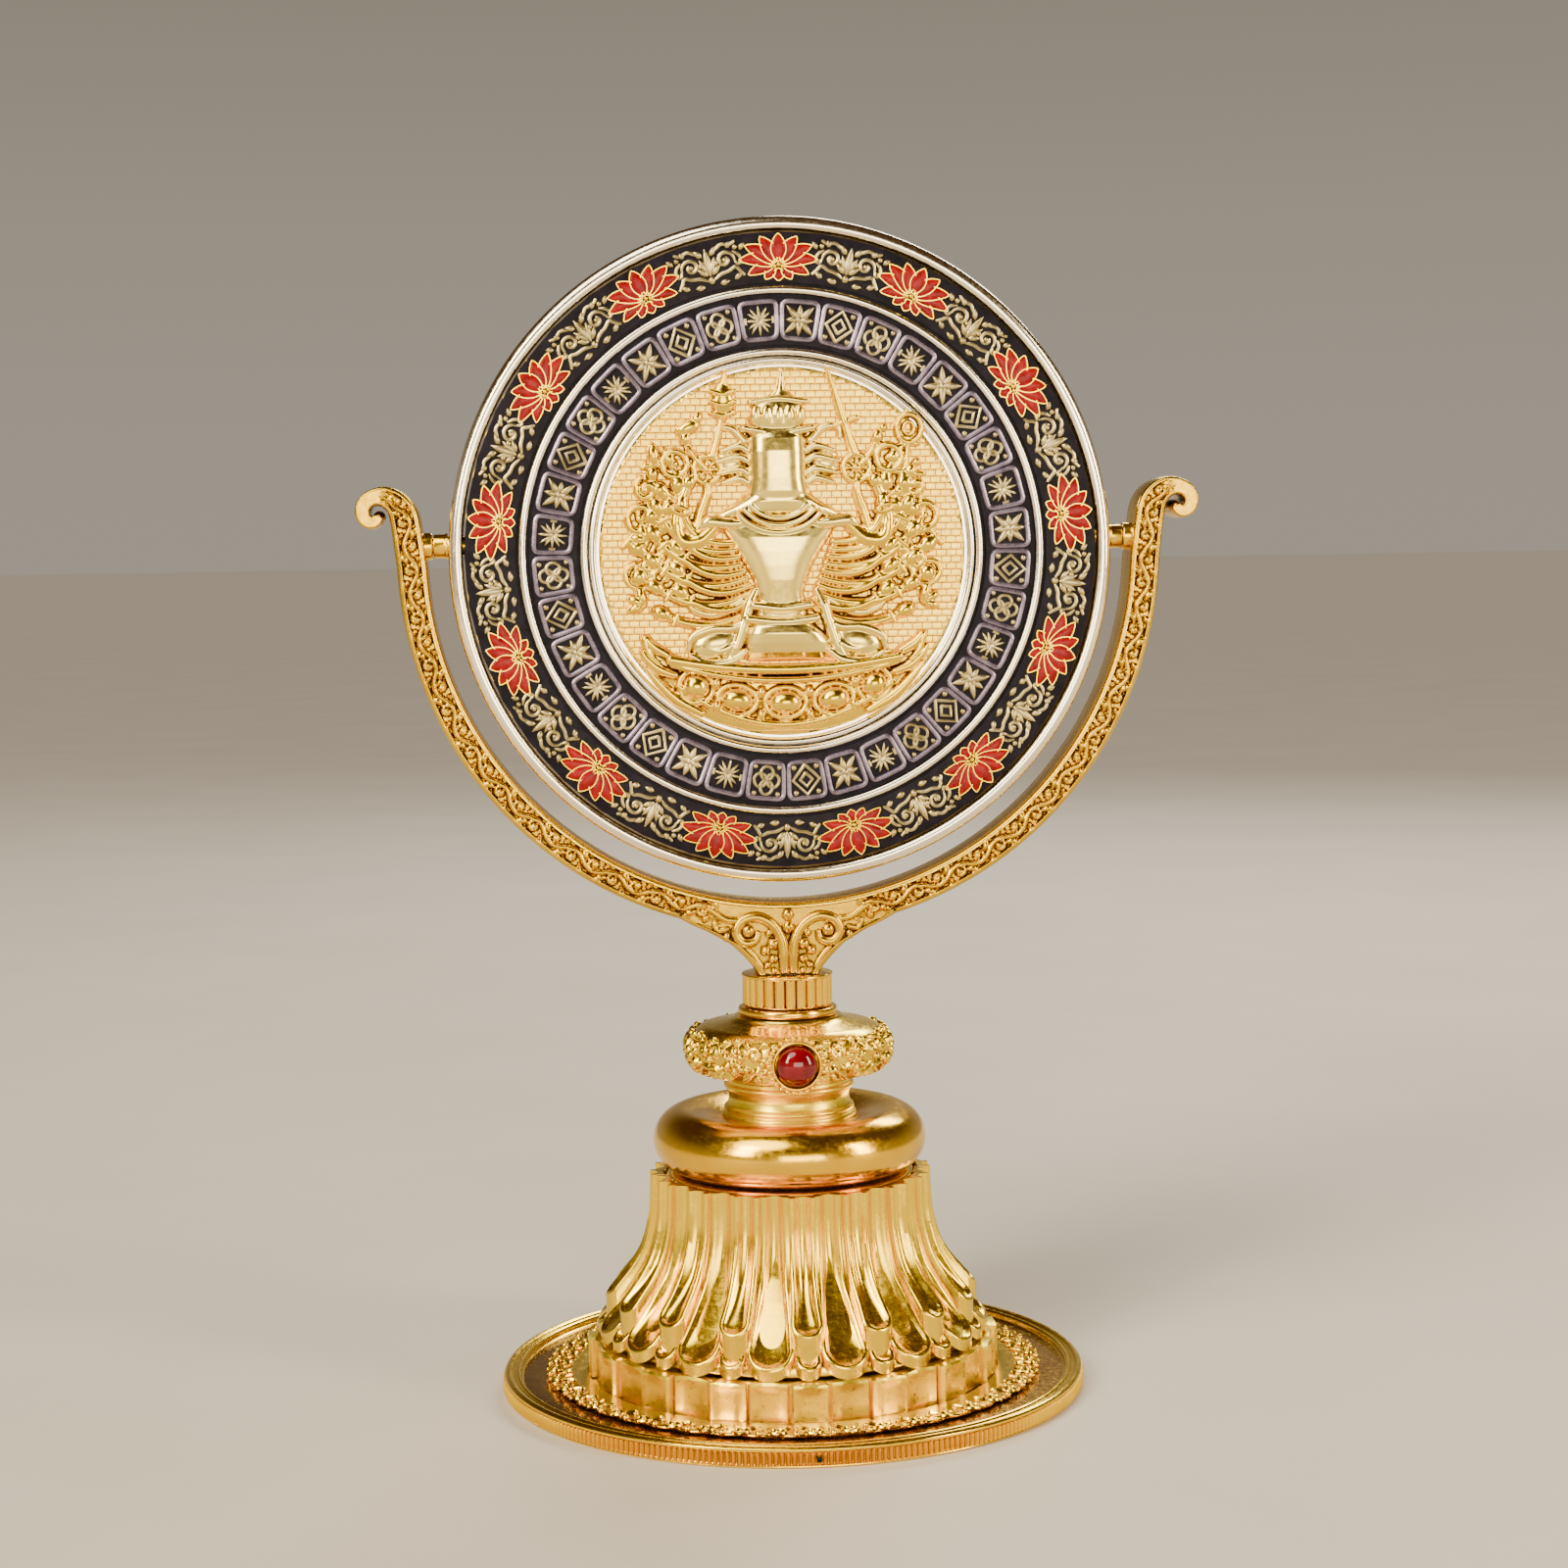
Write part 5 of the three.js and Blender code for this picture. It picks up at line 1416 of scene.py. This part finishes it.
def lotus_throne():
    """A bowl of petals under two mouldings, with domed petals along its front."""
    r = Relief((-23.5, -27.8), (23.5, -11.5))
    r.body([(-26.9, 0, 5.5, 0.35), (-25.6, 0, 10.5, 0.6), (-23.6, 0, 14.6, 0.8), (-21.0, 0, 17.9, 0.9),
            (-18.0, 0, 19.4, 0.9), (-16.6, 0, 17.6, 0.7)], 6)
    arc = np.linspace(-1, 1, 25)
    mouldings = ((17.2, -17.6, 1.7, 0.85, 1.5), (16.9, -19.2, 2.6, 0.6, 1.3), (16.0, -25.9, 6.0, 0.6, 0.7))
    for half, bottom, rise, width, lift in mouldings:
        r.stroke(np.stack([half * arc, bottom + rise * arc ** 2], 1), width, 0.9, lift, smooth=0)
    petals = ((0.0, -22.6, 0, 2.6, 1.85), (7.3, -22.1, 10, 2.5, 1.8), (13.4, -20.0, 26, 2.1, 1.9))
    for x, z, turn, wide, tall in petals:
        for side in (-1, 1) if x else (1,):
            r.dome((side * x, z), (wide, tall), 1.7, side * turn, 0.9, 0.6)
            r.loop((side * x, z), (wide + 0.5, tall + 0.45), 0.48, 0.7, side * turn, 0.85)
    for x, z in ((3.65, -22.5), (10.4, -21.1)):
        for side in (-1, 1):
            for up in (-1.9, 1.5):
                r.dome((side * x, z + up), (0.75, 1.0), 1.1, side * 12, 0.9)
    leaves = (((15.4, -16.6), (17.6, -15.2), (19.6, -14.0), (20.9, -12.7), (20.4, -14.8), (18.9, -16.4)),
              ((16.6, -18.2), (19.0, -17.2), (20.8, -15.6), (21.6, -14.4)),
              ((12.6, -24.0), (16.4, -21.8), (19.4, -18.8), (21.0, -16.8)))
    for side in (-1, 1):
        for places in leaves:
            r.stroke(mirrored(side, *places), [0.7, 0.95, 0.75, 0.3], 1.1, 0.6)
    return relief_piece("throne_cast", r, RELIEF_GOLD, "lotus_throne")


def back_face():
    """The back's polished mirror, with a stepped edge."""
    _, outer, front, back = disc_ring("back_mirror")
    face, circles = back - 0.18, 25
    outline = [(0.0, front), (outer, front), (outer, back - 0.3), (outer - 0.3, back), (outer - 1.0, back),
               *[(radius, face) for radius in np.linspace(outer - 1.4, 12, circles + 1)], (0.0, face)]
    shape = Shape().add(*turned(outline, 192, upright=False))
    on_disc("back_mirror_polished", shape, [MIRROR_GOLD], "back_mirror", "pale_gold")


def finish_hidden_nodes():
    """The frame's own shapes that stay get their finishes."""
    finishes = {"felt_pad": FELT, "tie_rod": STEEL, "tie_nut": STEEL, "tie_washer": STEEL, "core_ring": GOLD,
                "scripture_core": PAPER, "front_plate": GUNMETAL, "back_plate": GUNMETAL}
    for node, finish in finishes.items():
        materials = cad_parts[node].data.materials
        materials.clear()
        materials.append(finish)


# ------------------------------------------------------------------ the room
def sky():
    """A sky that is pale at the horizon and dark brown above."""
    world = bpy.data.worlds.new("studio")
    bpy.context.scene.world = world
    world.use_nodes = True
    nodes, links = world.node_tree.nodes, world.node_tree.links
    place = nodes.new("ShaderNodeTexCoord")
    height = nodes.new("ShaderNodeSeparateXYZ")
    fade = nodes.new("ShaderNodeMapRange")
    fade.interpolation_type = "SMOOTHSTEP"
    fade.inputs["From Max"].default_value = 0.55
    tint = nodes.new("ShaderNodeMix")
    tint.data_type = "RGBA"
    tint.inputs[6].default_value = (0.38, 0.33, 0.265, 1)        # at the horizon
    tint.inputs[7].default_value = (0.055, 0.026, 0.007, 1)      # overhead
    links.new(place.outputs["Generated"], height.inputs[0])
    links.new(height.outputs["Z"], fade.inputs["Value"])
    links.new(fade.outputs["Result"], tint.inputs[0])
    links.new(tint.outputs[2], nodes["Background"].inputs["Color"])


def studio():
    """A pale floor that meets a sky of the same tone, a soft sun and four soft boxes."""
    sky()
    mesh = bpy.data.meshes.new("floor")
    half = 40.0
    corners = [(-half, -half, 0), (half, -half, 0), (half, half, 0), (-half, half, 0)]
    mesh.from_pydata(corners, [], [(0, 1, 2, 3)])
    floor = in_scene("floor", mesh)
    paint = Finish("pale_floor", Roughness=0.7)
    mottle = paint.spread(paint.noise(14.0, 4.0), 0.0, 1.0)
    paint.link("Base Color", paint.mix(mottle, (0.60, 0.56, 0.49), (0.64, 0.60, 0.53)))
    floor.data.materials.append(paint.material)
    sun = bpy.data.lights.new("sun", "SUN")
    sun.energy, sun.angle, sun.color = 2.1, math.radians(35), (1.0, 0.91, 0.79)
    hang("sun", sun, (0, 0, 0), Vector((-0.45, -0.6, 1.0)).to_track_quat("Z", "Y"))
    warm = (1.0, 0.84, 0.58)
    softbox("key", (-0.60, -0.60, 0.50), (0, 0, 0.10), (0.22, 0.55), 10, warm)
    softbox("fill", (0.75, -0.45, 0.36), (0, 0, 0.10), (0.16, 0.55), 7, warm)
    softbox("front", (0.14, -1.40, 0.12), (0, 0, 0.12), (0.9, 0.55), 12, (1.0, 0.88, 0.68))
    softbox("back", (0.35, 0.75, 0.65), (0, 0, 0.12), (0.6, 0.2), 6, (1.0, 0.95, 0.86))


def hang(name, light, place, turn):
    """Puts a light in the room."""
    lamp = in_scene(name, light)
    lamp.location = place
    lamp.rotation_euler = turn.to_euler()


def softbox(name, place, target, size, power, colour):
    """A rectangular lamp that faces a target."""
    light = bpy.data.lights.new(name, "AREA")
    light.shape = "RECTANGLE"
    light.size, light.size_y = size
    light.energy = power
    light.color = colour
    hang(name, light, place, (Vector(target) - Vector(place)).to_track_quat("-Z", "Y"))


def camera():
    """Straight on to the disc, a little to its left and looking slightly down."""
    heading, pitch, roll = (math.radians(a) for a in (-4.5, 4.6, 0.9))
    distance, height, lens, sensor = 0.4358, 0.1277, 65.7, 36.0    # metres, then millimetres
    away = Vector((math.sin(heading), -math.cos(heading), 0))
    back = away * math.cos(pitch) + Vector((0, 0, math.sin(pitch)))
    right = Vector((math.cos(heading), math.sin(heading), 0))
    up = back.cross(right)
    across = right * math.cos(roll) - up * math.sin(roll)
    above = right * math.sin(roll) + up * math.cos(roll)
    data = bpy.data.cameras.new("view")
    data.sensor_width, data.lens = sensor, lens
    view = in_scene("view", data)
    place = away * distance + Vector((0, 0, height))
    view.matrix_world = Matrix((
        (across.x, above.x, back.x, place.x), (across.y, above.y, back.y, place.y),
        (across.z, above.z, back.z, place.z), (0, 0, 0, 1)))
    bpy.context.scene.camera = view


base_plate()
lace_ring()
petal_drum()
lotus_bell()
cushion_ring()
turned_neck()
jewel_knob()
ruby_setting()
collar()
crescent_yoke()
pivots()
wheel_rim()
block_band()
scroll_band()
lotus_flowers()
medallion()
seated_figure()
arm_fan(-1, "arm_fan_left")
arm_fan(1, "arm_fan_right")
lotus_throne()
back_face()
finish_hidden_nodes()
studio()
camera()
